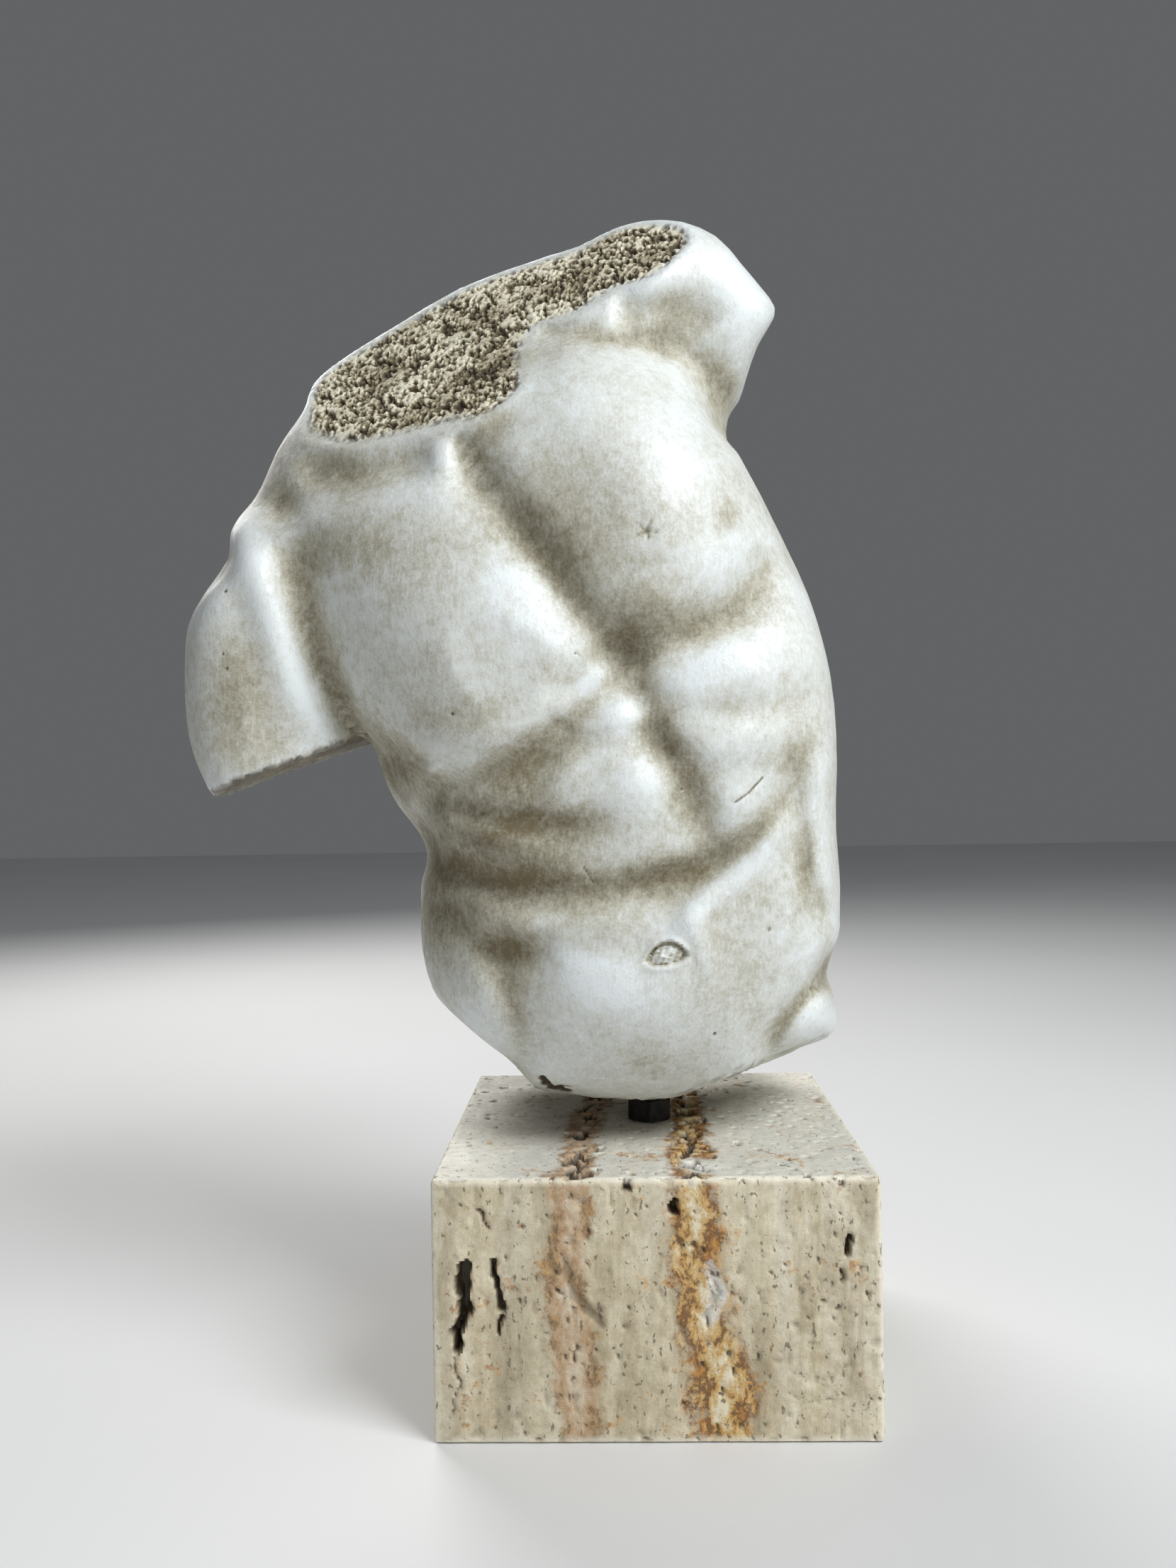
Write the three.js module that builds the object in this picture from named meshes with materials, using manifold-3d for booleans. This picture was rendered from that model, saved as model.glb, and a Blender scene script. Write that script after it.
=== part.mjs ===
// A cast marble torso, broken off at neck, arms and thighs, held by a short
// black threaded rod with one nut over a block of travertine.
// Millimetres. +Z is up, the viewer looks along +Y, +X is to the viewer's right.
// The origin is the middle of the block's underside.

import * as THREE from "three";
import { mergeVertices } from "three/addons/utils/BufferGeometryUtils.js";
import Module from "manifold-3d";

const wasm = await Module();
wasm.setup();

// Sizes.

const BLOCK_SIDE = 120;
const BLOCK_HEIGHT = 70;
const BLOCK_EDGE = 1.2;

const ROD_DIAMETER = 8;
const ROD_IN_BLOCK = 32;
const ROD_IN_TORSO = 18;
const ROD_TIP_CHAMFER = 0.8;
const GAP = 0.3;

const NUT_ACROSS_FLATS = 13;
const NUT_HEIGHT = 6.5;

const TORSO_FOOT = 81.5;
const TORSO_CELL = 6.25;
const TORSO_LOW = [-156, -66, 72];
const TORSO_HIGH = [80, 80, 376];

// The outline was drawn as seen from this eye point, on the plane y = 0.
const EYE = [-8, -387, 174];

// The drawn outline of the torso, clockwise from the neck.

const NECK_BREAK_REAR = [
  [-103.5, 295.5], [-101.5, 302.5], [-94.5, 308.5], [-77, 318.5],
  [-54.5, 331], [-32, 338.5], [-19.5, 343.5], [-10, 349], [2.5, 351],
];
const RAISED_SHOULDER = [
  [15, 350], [24.5, 345.5], [32, 336.5], [38, 329], [42, 323],
  [40.5, 318.5], [36.5, 312], [33, 302.5], [30.5, 294.5], [28, 289],
];
const LONG_FLANK = [
  [30, 279.5], [38, 262.5], [45, 247.5], [51, 233], [55.5, 215.5], [58.5, 198.5],
  [59, 178.5], [58.5, 159], [59, 142], [59, 129.5], [56.5, 121], [54.5, 114],
];
const THIGH_STUB = [
  [56.5, 109], [57.5, 100], [55, 95.5], [47, 93], [39, 88], [31.5, 84],
];
const BELLY_FOOT = [
  [27.5, 79.5], [18, 76.5], [5.5, 75.5], [-7, 76.5], [-16.5, 77.5], [-26.5, 80], [-35, 81.5],
];
const HIP = [
  [-41, 88], [-46, 92.5], [-56, 101.5], [-65.5, 110], [-71, 119],
  [-72, 129], [-71, 138.5], [-68, 148], [-67, 154],
];
const UNDER_THE_ARM = [
  [-69.5, 161], [-76, 169.5], [-82, 178], [-87, 185], [-91, 188],
];
const ARM_STUMP = [
  [-95, 185], [-104, 180], [-117, 175.5], [-129.5, 172.5], [-134.5, 173.5], [-138.5, 180.5],
  [-143, 192], [-144.5, 204.5], [-144, 217], [-142.5, 226.5], [-137, 236.5],
];
const SHOULDER_SLOPE = [
  [-129, 247.5], [-128, 256.5], [-123, 268.5], [-115, 281], [-107.5, 289.5],
];
const OUTLINE = curve([
  ...NECK_BREAK_REAR, ...RAISED_SHOULDER, ...LONG_FLANK, ...THIGH_STUB, ...BELLY_FOOT,
  ...HIP, ...UNDER_THE_ARM, ...ARM_STUMP, ...SHOULDER_SLOPE,
], 2, true);

// The raised areas of the front, drawn on the same plane.

const LOWERED_SIDE_CHEST = curve([
  [-53, 264.5], [-43.5, 260.5], [-31, 243], [-19, 228], [-10.5, 217.5], [-22.5, 198.5],
  [-36.5, 187.5], [-47.5, 182.5], [-60.5, 179.5], [-74.5, 185.5], [-90.5, 195],
  [-96.5, 206.5], [-101.5, 222.5], [-103.5, 240.5], [-95.5, 255.5], [-80.5, 262.5],
], 2, true);
const RAISED_SIDE_CHEST = curve([
  [-35.5, 306], [-43, 284], [-40.5, 271.5], [-31, 251.5], [-18, 233], [-7, 221],
  [8, 226.5], [21.5, 232], [30.5, 239.5], [33.5, 250.5], [28, 263], [25, 282.5],
  [21.5, 298.5], [13, 307], [-3, 311.5], [-22.5, 316],
], 2, true);
const UPPER_BELLY = curve([
  [-66, 158], [-55.5, 151], [-48, 144.5], [-37.5, 141.5], [-23.5, 140], [-8, 142.5],
  [6.5, 145.5], [19, 149.5], [31, 156], [41.5, 166.5], [46.5, 186], [42, 208.5],
  [25, 223.5], [-4.5, 216.5], [-19.5, 207], [-24.5, 202], [-49.5, 193], [-72, 188],
], 2, true);

// Long furrows (below zero) and ridges (above zero): height, half width, line.
const FRONT_LINES = [
  // between the chest muscles, then down the middle of the belly
  stroke(-2.4, 5.5, [[-51.5, 274.5], [-44, 266], [-33.5, 250], [-20, 232.5], [-7.5, 219]]),
  stroke(-3.6, 7.5, [[-8, 219.5], [-1, 204.5], [8, 188], [17, 172], [19.5, 154.5]]),
  // hollow over the collar bone of the lowered side
  stroke(-3, 6, [[-104, 273.5], [-83, 273.5], [-70.5, 272]]),
  // between the chest and the arm stump, then the two marks on the arm stump
  stroke(-4, 5.5, [[-106, 251], [-105.5, 239.5], [-102.5, 222.5], [-96.5, 206.5], [-90.5, 192.5]]),
  stroke(2, 6, [[-117, 242.5], [-110.5, 226], [-105, 208.5], [-98, 188.5]]),
  stroke(-1.8, 5.5, [[-128, 245], [-123.5, 222.5], [-116, 202.5], [-111, 189]]),
  // collar bone furrow and hollow of the raised shoulder, then its lower edge
  stroke(-2.4, 5, [[-29.5, 317.5], [-20, 319.5], [-8.5, 316], [13, 310.5]]),
  stroke(-2.4, 10, [[9.5, 320], [19.5, 322], [31.5, 318]]),
  stroke(-3.2, 5, [[13.5, 310], [21, 303.5], [25, 296], [27, 288.5]]),
  // lower edges of the two chest muscles
  stroke(-2.6, 5, [[-79, 186], [-64.5, 179.5], [-47.5, 180], [-26, 196], [-8, 216]]),
  stroke(-2.4, 5.5, [[-5.5, 218.5], [8, 222.5], [21.5, 228.5], [31.5, 237], [36.5, 246.5]]),
  // ridge beside the middle line and the furrow on its far side
  stroke(2.2, 7.5, [[-10, 210.5], [-5, 197], [2.5, 177], [9, 160]]),
  stroke(-1.6, 6, [[-26, 198.5], [-23, 185], [-19, 167.5], [-13, 150.5]]),
  // small fold of the bent side, then the long crease above the navel
  stroke(-1.4, 5, [[-64.5, 173.5], [-57, 167.5], [-42.5, 165.5], [-27.5, 162.5]]),
  stroke(-2.8, 5.5, [
    [-66, 158], [-55.5, 150.5], [-37.5, 141], [-23.5, 139.5], [-8, 142],
    [19, 149], [31, 155.5], [37, 164],
  ]),
  // hip line, groin line, and the line between the belly and the thigh stub
  stroke(-2.4, 6, [[-64.5, 138.5], [-57.5, 131.5], [-51, 125.5], [-42, 120.5]]),
  stroke(-2, 6, [[-43.5, 120], [-42.5, 107.5], [-38.5, 94], [-34, 82]]),
  stroke(-2.8, 4.5, [[55, 115.5], [47.5, 104.5], [35.5, 91], [31.5, 85]]),
];

// Rounded swellings and dents: height, middle, half sizes, turn in degrees.
const FRONT_SWELLINGS = [
  swelling(5.2, [-56.5, 214], [37, 31], -10), // chest of the lowered side
  swelling(1.2, [-78.5, 240.5], [32, 22], 20),
  swelling(5, [7.5, 268], [27, 37], 10), // chest of the raised side
  swelling(1.5, [-18, 293.5], [17.5, 17.5], 0),
  swelling(-4, [-34.5, 313.5], [12.5, 12.5], 0), // slopes towards the neck break
  swelling(3.5, [4.5, 331], [15, 8.5], 30),
  swelling(-2, [-101.5, 286.5], [7.5, 7.5], 0),
  swelling(-2, [-111, 264], [7.5, 8.5], 0), // dent on top of the shoulder
  swelling(4.5, [-8.5, 109.5], [37, 24.5], 0), // belly
  swelling(1.6, [-25.5, 132.5], [27, 9], 4),
  swelling(2, [43.5, 144.5], [17.5, 22], 20), // flank and ribs of the long side
  swelling(1.8, [34.5, 213.5], [21, 12.5], 0),
  swelling(1.4, [38, 186.5], [18.5, 11], 0),
  swelling(1, [40, 159.5], [15, 11], 20),
  swelling(2.2, [-42.5, 156], [19.5, 7.5], 6), // folds of the bent side
  swelling(2.2, [-52.5, 116.5], [8.5, 15], 10), // hip
];

// The back, seen along -Y, in plain x and z.
const BACK_LINES = [
  stroke(-5, 9, [[-62, 330], [-38, 285], [-12, 225], [0, 170], [-2, 125]]), // spine
  stroke(2.5, 9, [[-78, 285], [-84, 250], [-66, 222]]), // shoulder blades
  stroke(2.5, 9, [[-18, 330], [10, 285], [8, 262]]),
  stroke(-2, 8, [[-92, 262], [-70, 212], [-45, 180]]), // edges of the broad back muscles
  stroke(-2, 8, [[30, 282], [38, 240], [34, 205]]),
  stroke(-6, 5, [[-2, 128], [-2, 104], [-2, 84]]), // cleft of the seat
  stroke(-1.6, 9, [[-46, 133], [-20, 136]]),
  stroke(-1.6, 9, [[42, 134], [16, 137]]),
];

// Flat breaks: a point on each and the way it faces.

const NECK_BREAK = plane([-40, -27, 297], [-0.3, -0.73, 0.62]);
const ARM_BREAK = plane([-135, 0, 173], [0.34, 0.05, -0.94]);
const THIGH_BREAK = plane([43, 5, 88], [0.35, -0.25, -0.9]);
const FOOT = plane([0, 0, TORSO_FOOT], [0, 0, -1]);
const BREAKS = [NECK_BREAK, ARM_BREAK, THIGH_BREAK, FOOT];

// The main masses of the body.

const CHEST_MASS = egg([-22, 1, 225], [74, 47, 88], 37.7, 2.5);
const WAIST_MASS = egg([-4, 0, 160], [66, 44, 62], 10, 2.5);
const PELVIS_MASS = egg([-5, 6, 118], [68, 48, 44], 0, 2.4);
const UPPER_BACK_MASS = egg([-50, 14, 288], [70, 34, 52], 33, 2.5);
const THIGH_MASS = egg([46, 14, 104], [26, 26, 26], 0, 2.2);
const SEAT_MASSES = [
  egg([-34, 30, 108], [32, 30, 34], 0, 2.2),
  egg([30, 30, 108], [32, 30, 34], 0, 2.2),
];
const SHOULDER_GIRDLE = limb([-112, 4, 238], [20, 14, 322], 29, 31);
const LOWERED_ARM = limb([-115, -4, 230], [-115, -4, 172], 30, 28.5);
const ARMPIT_FOLD = limb([-96, 16, 207], [-74.5, 14, 160], 24, 20);
const RAISED_SHOULDER_END = limb([8, 12, 328], [46, 12, 316], 30, 15);

function bodyMasses(p) {
  let d = CHEST_MASS(p);
  d = join(d, WAIST_MASS(p), 24);
  d = join(d, PELVIS_MASS(p), 20);
  d = join(d, SHOULDER_GIRDLE(p), 20);
  d = join(d, UPPER_BACK_MASS(p), 16);
  d = join(d, LOWERED_ARM(p), 8);
  d = join(d, ARMPIT_FOLD(p), 12);
  d = join(d, RAISED_SHOULDER_END(p), 10);
  d = join(d, THIGH_MASS(p), 6);
  d = join(d, SEAT_MASSES[0](p), 8);
  d = join(d, SEAT_MASSES[1](p), 8);
  return d;
}

function frontHeight(q) {
  let h = 0;
  for (const line of FRONT_LINES) h += line(q);
  for (const area of FRONT_SWELLINGS) h += area(q);
  h += 1.5 * ease(0.5 - awayFrom(q, LOWERED_SIDE_CHEST) / 16);
  h += 1.2 * ease(0.5 - awayFrom(q, RAISED_SIDE_CHEST) / 16);
  h += 1.7 * ease(0.5 - awayFrom(q, UPPER_BELLY) / 13);
  return h;
}

// Distance to the torso's skin: below zero inside the marble.
function torsoField(p) {
  const near = EYE[1] / (EYE[1] - p[1]);
  const drawn = [EYE[0] + (p[0] - EYE[0]) * near, EYE[2] + (p[2] - EYE[2]) * near];
  let d = bodyMasses(p);
  d = trim(d, awayFrom(drawn, OUTLINE) / near - 1.5, 7);
  const front = ease((10 - p[1]) / 28);
  if (front > 0) d -= front * frontHeight(drawn);
  const back = ease((p[1] - 8) / 24);
  if (back > 0) {
    for (const line of BACK_LINES) d -= back * line([p[0], p[2]]);
  }
  d = Math.max(d, NECK_BREAK(p));
  const beyondArmpit = p[0] + 84 + 0.25 * (p[2] - 190);
  d = Math.max(d, Math.min(ARM_BREAK(p), -beyondArmpit));
  d = Math.max(d, THIGH_BREAK(p));
  return Math.max(d, FOOT(p));
}

// Helpers for the field.

function ease(t) {
  const c = Math.min(Math.max(t, 0), 1);
  return c * c * (3 - 2 * c);
}

function join(a, b, softness) {
  const h = Math.max(softness - Math.abs(a - b), 0) / softness;
  return Math.min(a, b) - h * h * softness / 4;
}

function trim(a, b, softness) {
  return -join(-a, -b, softness);
}

// A body between a ball and a box: the larger the power, the boxier.
function egg(centre, size, turn, power) {
  const c = Math.cos(THREE.MathUtils.degToRad(turn));
  const s = Math.sin(THREE.MathUtils.degToRad(turn));
  return (p) => {
    const x = p[0] - centre[0];
    const z = p[2] - centre[2];
    const q = [
      Math.abs(x * c + z * s) / size[0] + 1e-6,
      Math.abs(p[1] - centre[1]) / size[1] + 1e-6,
      Math.abs(-x * s + z * c) / size[2] + 1e-6,
    ];
    const k = Math.pow(q[0] ** power + q[1] ** power + q[2] ** power, 1 / power);
    const slope = Math.hypot(
      q[0] ** (power - 1) / size[0],
      q[1] ** (power - 1) / size[1],
      q[2] ** (power - 1) / size[2],
    );
    return (k - 1) / (k ** (1 - power) * slope);
  };
}

function limb(from, to, radiusFrom, radiusTo) {
  const way = [to[0] - from[0], to[1] - from[1], to[2] - from[2]];
  const length2 = way[0] ** 2 + way[1] ** 2 + way[2] ** 2;
  return (p) => {
    const q = [p[0] - from[0], p[1] - from[1], p[2] - from[2]];
    const along = (q[0] * way[0] + q[1] * way[1] + q[2] * way[2]) / length2;
    const t = Math.min(Math.max(along, 0), 1);
    const away = Math.hypot(q[0] - t * way[0], q[1] - t * way[1], q[2] - t * way[2]);
    return away - radiusFrom - (radiusTo - radiusFrom) * t;
  };
}

function plane(point, facing) {
  const n = new THREE.Vector3(...facing).normalize();
  const offset = n.dot(new THREE.Vector3(...point));
  return (p) => p[0] * n.x + p[1] * n.y + p[2] * n.z - offset;
}

// A smooth curve through the given points.
function curve(points, steps, closed) {
  const out = [];
  const count = points.length;
  const pick = (i) => {
    if (closed) return points[(i + count) % count];
    return points[Math.min(Math.max(i, 0), count - 1)];
  };
  for (let i = 0; i < (closed ? count : count - 1); i += 1) {
    const [a, b, c, d] = [pick(i - 1), pick(i), pick(i + 1), pick(i + 2)];
    for (let k = 0; k < steps; k += 1) {
      const t = k / steps;
      out.push([0, 1].map((n) => 0.5 * (2 * b[n] + (c[n] - a[n]) * t
        + (2 * a[n] - 5 * b[n] + 4 * c[n] - d[n]) * t * t
        + (3 * b[n] - a[n] - 3 * c[n] + d[n]) * t * t * t)));
    }
  }
  if (!closed) out.push(points[count - 1]);
  return out;
}

// Distance from a closed line: below zero inside it.
function awayFrom(q, line) {
  let best = Infinity;
  let inside = false;
  for (let i = 0; i < line.length; i += 1) {
    const a = line[i];
    const b = line[(i + 1) % line.length];
    best = Math.min(best, toSegment(q, a, b)[0]);
    if (a[1] > q[1] !== b[1] > q[1]) {
      const x = a[0] + (q[1] - a[1]) * (b[0] - a[0]) / (b[1] - a[1]);
      if (q[0] < x) inside = !inside;
    }
  }
  return inside ? -best : best;
}

function toSegment(q, a, b) {
  const way = [b[0] - a[0], b[1] - a[1]];
  const along = (q[0] - a[0]) * way[0] + (q[1] - a[1]) * way[1];
  const t = Math.min(Math.max(along / (way[0] ** 2 + way[1] ** 2), 0), 1);
  return [Math.hypot(q[0] - a[0] - t * way[0], q[1] - a[1] - t * way[1]), t];
}

// A furrow or ridge that fades out at both ends.
function stroke(height, halfWidth, points) {
  const line = curve(points, 3, false);
  return (q) => {
    let best = Infinity;
    let place = 0;
    for (let i = 0; i + 1 < line.length; i += 1) {
      const [away, t] = toSegment(q, line[i], line[i + 1]);
      if (away < best) {
        best = away;
        place = (i + t) / (line.length - 1);
      }
    }
    if (best > 3 * halfWidth) return 0;
    const fade = 0.25 + 0.75 * ease(Math.min(place, 1 - place) / 0.12);
    return height * fade * Math.exp(-((best / halfWidth) ** 2));
  };
}

function swelling(height, middle, size, turn) {
  const c = Math.cos(THREE.MathUtils.degToRad(turn));
  const s = Math.sin(THREE.MathUtils.degToRad(turn));
  return (q) => {
    const x = q[0] - middle[0];
    const z = q[1] - middle[1];
    const a = (x * c + z * s) / size[0];
    const b = (-x * s + z * c) / size[1];
    return height * Math.exp(-1.2 * (a * a + b * b));
  };
}

// A closed skin of facets around a field.

function slopeOf(field, p) {
  const reach = 0.4;
  const n = [0, 1, 2].map((axis) => {
    const low = [...p];
    const high = [...p];
    low[axis] -= reach;
    high[axis] += reach;
    return field(high) - field(low);
  });
  const length = Math.hypot(...n) || 1;
  return n.map((value) => value / length);
}

function crossing(field, a, b, valueA, valueB) {
  let [low, high, lowValue, highValue] = [0, 1, valueA, valueB];
  let p = a;
  for (let round = 0; round < 3; round += 1) {
    const t = low + (high - low) * lowValue / (lowValue - highValue);
    p = [0, 1, 2].map((n) => a[n] + (b[n] - a[n]) * t);
    const value = field(p);
    if (value < 0 === valueA < 0) {
      low = t;
      lowValue = value;
    } else {
      high = t;
      highValue = value;
    }
    if (Math.abs(value) < 1e-3) break;
  }
  return p;
}

// The point of a cell that fits best to all the flat pieces of skin crossing it.
// A weak pull to their middle keeps the edge of a break crisp; elsewhere it's strong.
function cornerOf(cell, low, size) {
  const middle = cell.sum.map((value) => value / cell.count);
  const m = new THREE.Matrix3();
  const e = [0, 0, 0, 0, 0, 0];
  const r = [0, 0, 0];
  for (const { p, n } of cell.pieces) {
    const off = n[0] * (p[0] - middle[0]) + n[1] * (p[1] - middle[1]) + n[2] * (p[2] - middle[2]);
    e[0] += n[0] * n[0];
    e[1] += n[0] * n[1];
    e[2] += n[0] * n[2];
    e[3] += n[1] * n[1];
    e[4] += n[1] * n[2];
    e[5] += n[2] * n[2];
    for (let axis = 0; axis < 3; axis += 1) r[axis] += n[axis] * off;
  }
  const nearBreak = Math.min(...BREAKS.map((side) => Math.abs(side(middle)))) < size / 2;
  const pull = (nearBreak ? 0.05 : 0.6) * cell.count;
  m.set(e[0] + pull, e[1], e[2], e[1], e[3] + pull, e[4], e[2], e[4], e[5] + pull);
  const move = new THREE.Vector3(...r).applyMatrix3(m.invert());
  return middle.map((value, axis) => {
    const wanted = value + move.getComponent(axis);
    return Math.min(Math.max(wanted, low[axis] + 0.04 * size), low[axis] + 0.96 * size);
  });
}

function skin(field, low, high, size) {
  const count = low.map((value, n) => Math.ceil((high[n] - value) / size) + 1);
  const place = (i, j, k) => (i * count[1] + j) * count[2] + k;
  const spot = (g) => g.map((value, n) => low[n] + value * size);
  const values = new Float64Array(count[0] * count[1] * count[2]);
  for (let i = 0; i < count[0]; i += 1) {
    for (let j = 0; j < count[1]; j += 1) {
      for (let k = 0; k < count[2]; k += 1) values[place(i, j, k)] = field(spot([i, j, k]));
    }
  }
  const cells = new Map();
  const faces = [];
  for (let axis = 0; axis < 3; axis += 1) {
    const [side, depth] = [(axis + 1) % 3, (axis + 2) % 3];
    for (let i = 1; i < count[0] - 1; i += 1) {
      for (let j = 1; j < count[1] - 1; j += 1) {
        for (let k = 1; k < count[2] - 1; k += 1) {
          const g = [i, j, k];
          const next = [...g];
          next[axis] += 1;
          const here = values[place(...g)];
          const there = values[place(...next)];
          if (here < 0 === there < 0) continue;
          const p = crossing(field, spot(g), spot(next), here, there);
          const n = slopeOf(field, p);
          const ring = [[-1, -1], [0, -1], [0, 0], [-1, 0]].map(([s, d]) => {
            const corner = [...g];
            corner[side] += s;
            corner[depth] += d;
            const key = place(...corner);
            if (!cells.has(key)) {
              cells.set(key, { corner, sum: [0, 0, 0], count: 0, pieces: [] });
            }
            const cell = cells.get(key);
            cell.count += 1;
            cell.pieces.push({ p, n });
            for (let c = 0; c < 3; c += 1) cell.sum[c] += p[c];
            return key;
          });
          faces.push(here < 0 ? ring : ring.reverse());
        }
      }
    }
  }
  const corners = [];
  const order = new Map();
  for (const [key, cell] of cells) {
    order.set(key, corners.length);
    corners.push(cornerOf(cell, spot(cell.corner), size));
  }
  const triangles = [];
  for (const ring of faces) {
    const [a, b, c, d] = ring.map((key) => order.get(key));
    const gap = (m, n) => Math.hypot(...corners[m].map((value, axis) => value - corners[n][axis]));
    if (gap(a, c) < gap(b, d)) triangles.push(a, b, c, a, c, d);
    else triangles.push(a, b, d, b, c, d);
  }
  const geometry = new THREE.BufferGeometry();
  geometry.setAttribute("position", new THREE.Float32BufferAttribute(corners.flat(), 3));
  geometry.setIndex(triangles);
  return geometry;
}

// Joins and cuts.

function solidOf(geometry) {
  const bare = new THREE.BufferGeometry();
  bare.setAttribute("position", geometry.getAttribute("position").clone());
  if (geometry.index) bare.setIndex(geometry.index.clone());
  const merged = mergeVertices(bare, 1e-4);
  return new wasm.Manifold(new wasm.Mesh({
    numProp: 3,
    vertProperties: new Float32Array(merged.getAttribute("position").array),
    triVerts: new Uint32Array(merged.index.array),
  }));
}

function geometryOf(solid) {
  const mesh = solid.getMesh();
  const geometry = new THREE.BufferGeometry();
  geometry.setAttribute("position", new THREE.Float32BufferAttribute(mesh.vertProperties, 3));
  geometry.setIndex(Array.from(mesh.triVerts));
  geometry.computeVertexNormals();
  return geometry;
}

function upright(radius, bottom, top, sides) {
  const geometry = new THREE.CylinderGeometry(radius, radius, top - bottom, sides);
  geometry.rotateX(Math.PI / 2);
  geometry.translate(0, 0, (top + bottom) / 2);
  return solidOf(geometry);
}

// The four bodies.

function makeTorso() {
  const body = solidOf(skin(torsoField, TORSO_LOW, TORSO_HIGH, TORSO_CELL));
  const socketTop = TORSO_FOOT + ROD_IN_TORSO + GAP;
  const socket = upright(ROD_DIAMETER / 2 + GAP, TORSO_FOOT - 6, socketTop, 24);
  return geometryOf(body.subtract(socket));
}

// Two long open voids of the travertine, near one edge of the front face.
const LARGE_VOID = [
  [-53.4, 24], [-50.6, 22.6], [-49.4, 29], [-48.7, 36], [-49.4, 43], [-50.2, 48.4],
  [-52, 47], [-53.2, 40], [-52.6, 33],
];
const SMALL_VOID = [
  [-42.6, 28.4], [-40, 27.8], [-39.2, 34], [-40, 41], [-41, 47.8], [-42.8, 45], [-42, 37],
];

function voidCutter(points, depth) {
  const shape = new THREE.Shape(points.map(([x, z]) => new THREE.Vector2(x, z)));
  const geometry = new THREE.ExtrudeGeometry(shape, { depth: depth + 4, bevelEnabled: false });
  geometry.rotateX(Math.PI / 2);
  geometry.translate(0, depth - BLOCK_SIDE / 2, 0);
  return solidOf(geometry);
}

function makeBlock() {
  const half = BLOCK_SIDE / 2 - BLOCK_EDGE;
  const square = new THREE.Shape([
    new THREE.Vector2(-half, -half),
    new THREE.Vector2(half, -half),
    new THREE.Vector2(half, half),
    new THREE.Vector2(-half, half),
  ]);
  const geometry = new THREE.ExtrudeGeometry(square, {
    depth: BLOCK_HEIGHT - 2 * BLOCK_EDGE,
    bevelThickness: BLOCK_EDGE,
    bevelSize: BLOCK_EDGE,
    bevelSegments: 2,
  });
  geometry.translate(0, 0, BLOCK_EDGE);
  const holeFoot = BLOCK_HEIGHT - ROD_IN_BLOCK - GAP;
  const hole = upright(ROD_DIAMETER / 2 + GAP, holeFoot, BLOCK_HEIGHT + 5, 24);
  return geometryOf(solidOf(geometry)
    .subtract(hole)
    .subtract(voidCutter(LARGE_VOID, 9))
    .subtract(voidCutter(SMALL_VOID, 6)));
}

function makeRod() {
  const bottom = BLOCK_HEIGHT - ROD_IN_BLOCK;
  const top = TORSO_FOOT + ROD_IN_TORSO;
  const radius = ROD_DIAMETER / 2;
  const profile = [
    new THREE.Vector2(0, bottom),
    new THREE.Vector2(radius - ROD_TIP_CHAMFER, bottom),
    new THREE.Vector2(radius, bottom + ROD_TIP_CHAMFER),
    new THREE.Vector2(radius, top - ROD_TIP_CHAMFER),
    new THREE.Vector2(radius - ROD_TIP_CHAMFER, top),
    new THREE.Vector2(0, top),
  ];
  const geometry = new THREE.LatheGeometry(profile, 24);
  geometry.rotateX(Math.PI / 2);
  return geometryOf(solidOf(geometry));
}

function makeNut() {
  const corner = NUT_ACROSS_FLATS / Math.sqrt(3);
  const bottom = BLOCK_HEIGHT + GAP;
  const top = bottom + NUT_HEIGHT;
  const hexagon = upright(corner, bottom, top, 6);
  const chamfer = 0.7;
  const profile = [
    new THREE.Vector2(0, bottom),
    new THREE.Vector2(corner - chamfer, bottom),
    new THREE.Vector2(corner + 0.2, bottom + chamfer),
    new THREE.Vector2(corner + 0.2, top - chamfer),
    new THREE.Vector2(corner - chamfer, top),
    new THREE.Vector2(0, top),
  ];
  const round = new THREE.LatheGeometry(profile, 36);
  round.rotateX(Math.PI / 2);
  const bore = upright(ROD_DIAMETER / 2 + GAP, bottom - 2, top + 2, 24);
  return geometryOf(hexagon.intersect(solidOf(round)).subtract(bore));
}

function body(name, geometry, colour, roughness, metalness) {
  const material = new THREE.MeshStandardMaterial({ color: colour, roughness, metalness });
  const mesh = new THREE.Mesh(geometry, material);
  mesh.name = name;
  return mesh;
}

const part = new THREE.Group();
part.name = "marble_torso_on_travertine";
part.add(body("travertine_block", makeBlock(), 0xcfc3ab, 0.7, 0));
part.add(body("steel_rod", makeRod(), 0x17171a, 0.45, 0.6));
part.add(body("steel_nut", makeNut(), 0x17171a, 0.45, 0.6));
part.add(body("marble_torso", makeTorso(), 0xd6d2c4, 0.45, 0));

export default part;
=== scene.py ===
# %% [markdown]
# # A cast marble torso on a block of travertine
# The object is a small sculpture for a table: a torso without head and arms,
# cast in marble, held by a black threaded rod over a block of travertine.
# The solids come from the frame and give every size. Here the stone gets its
# fine forms, its rough breaks, its pores and its colours.

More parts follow.
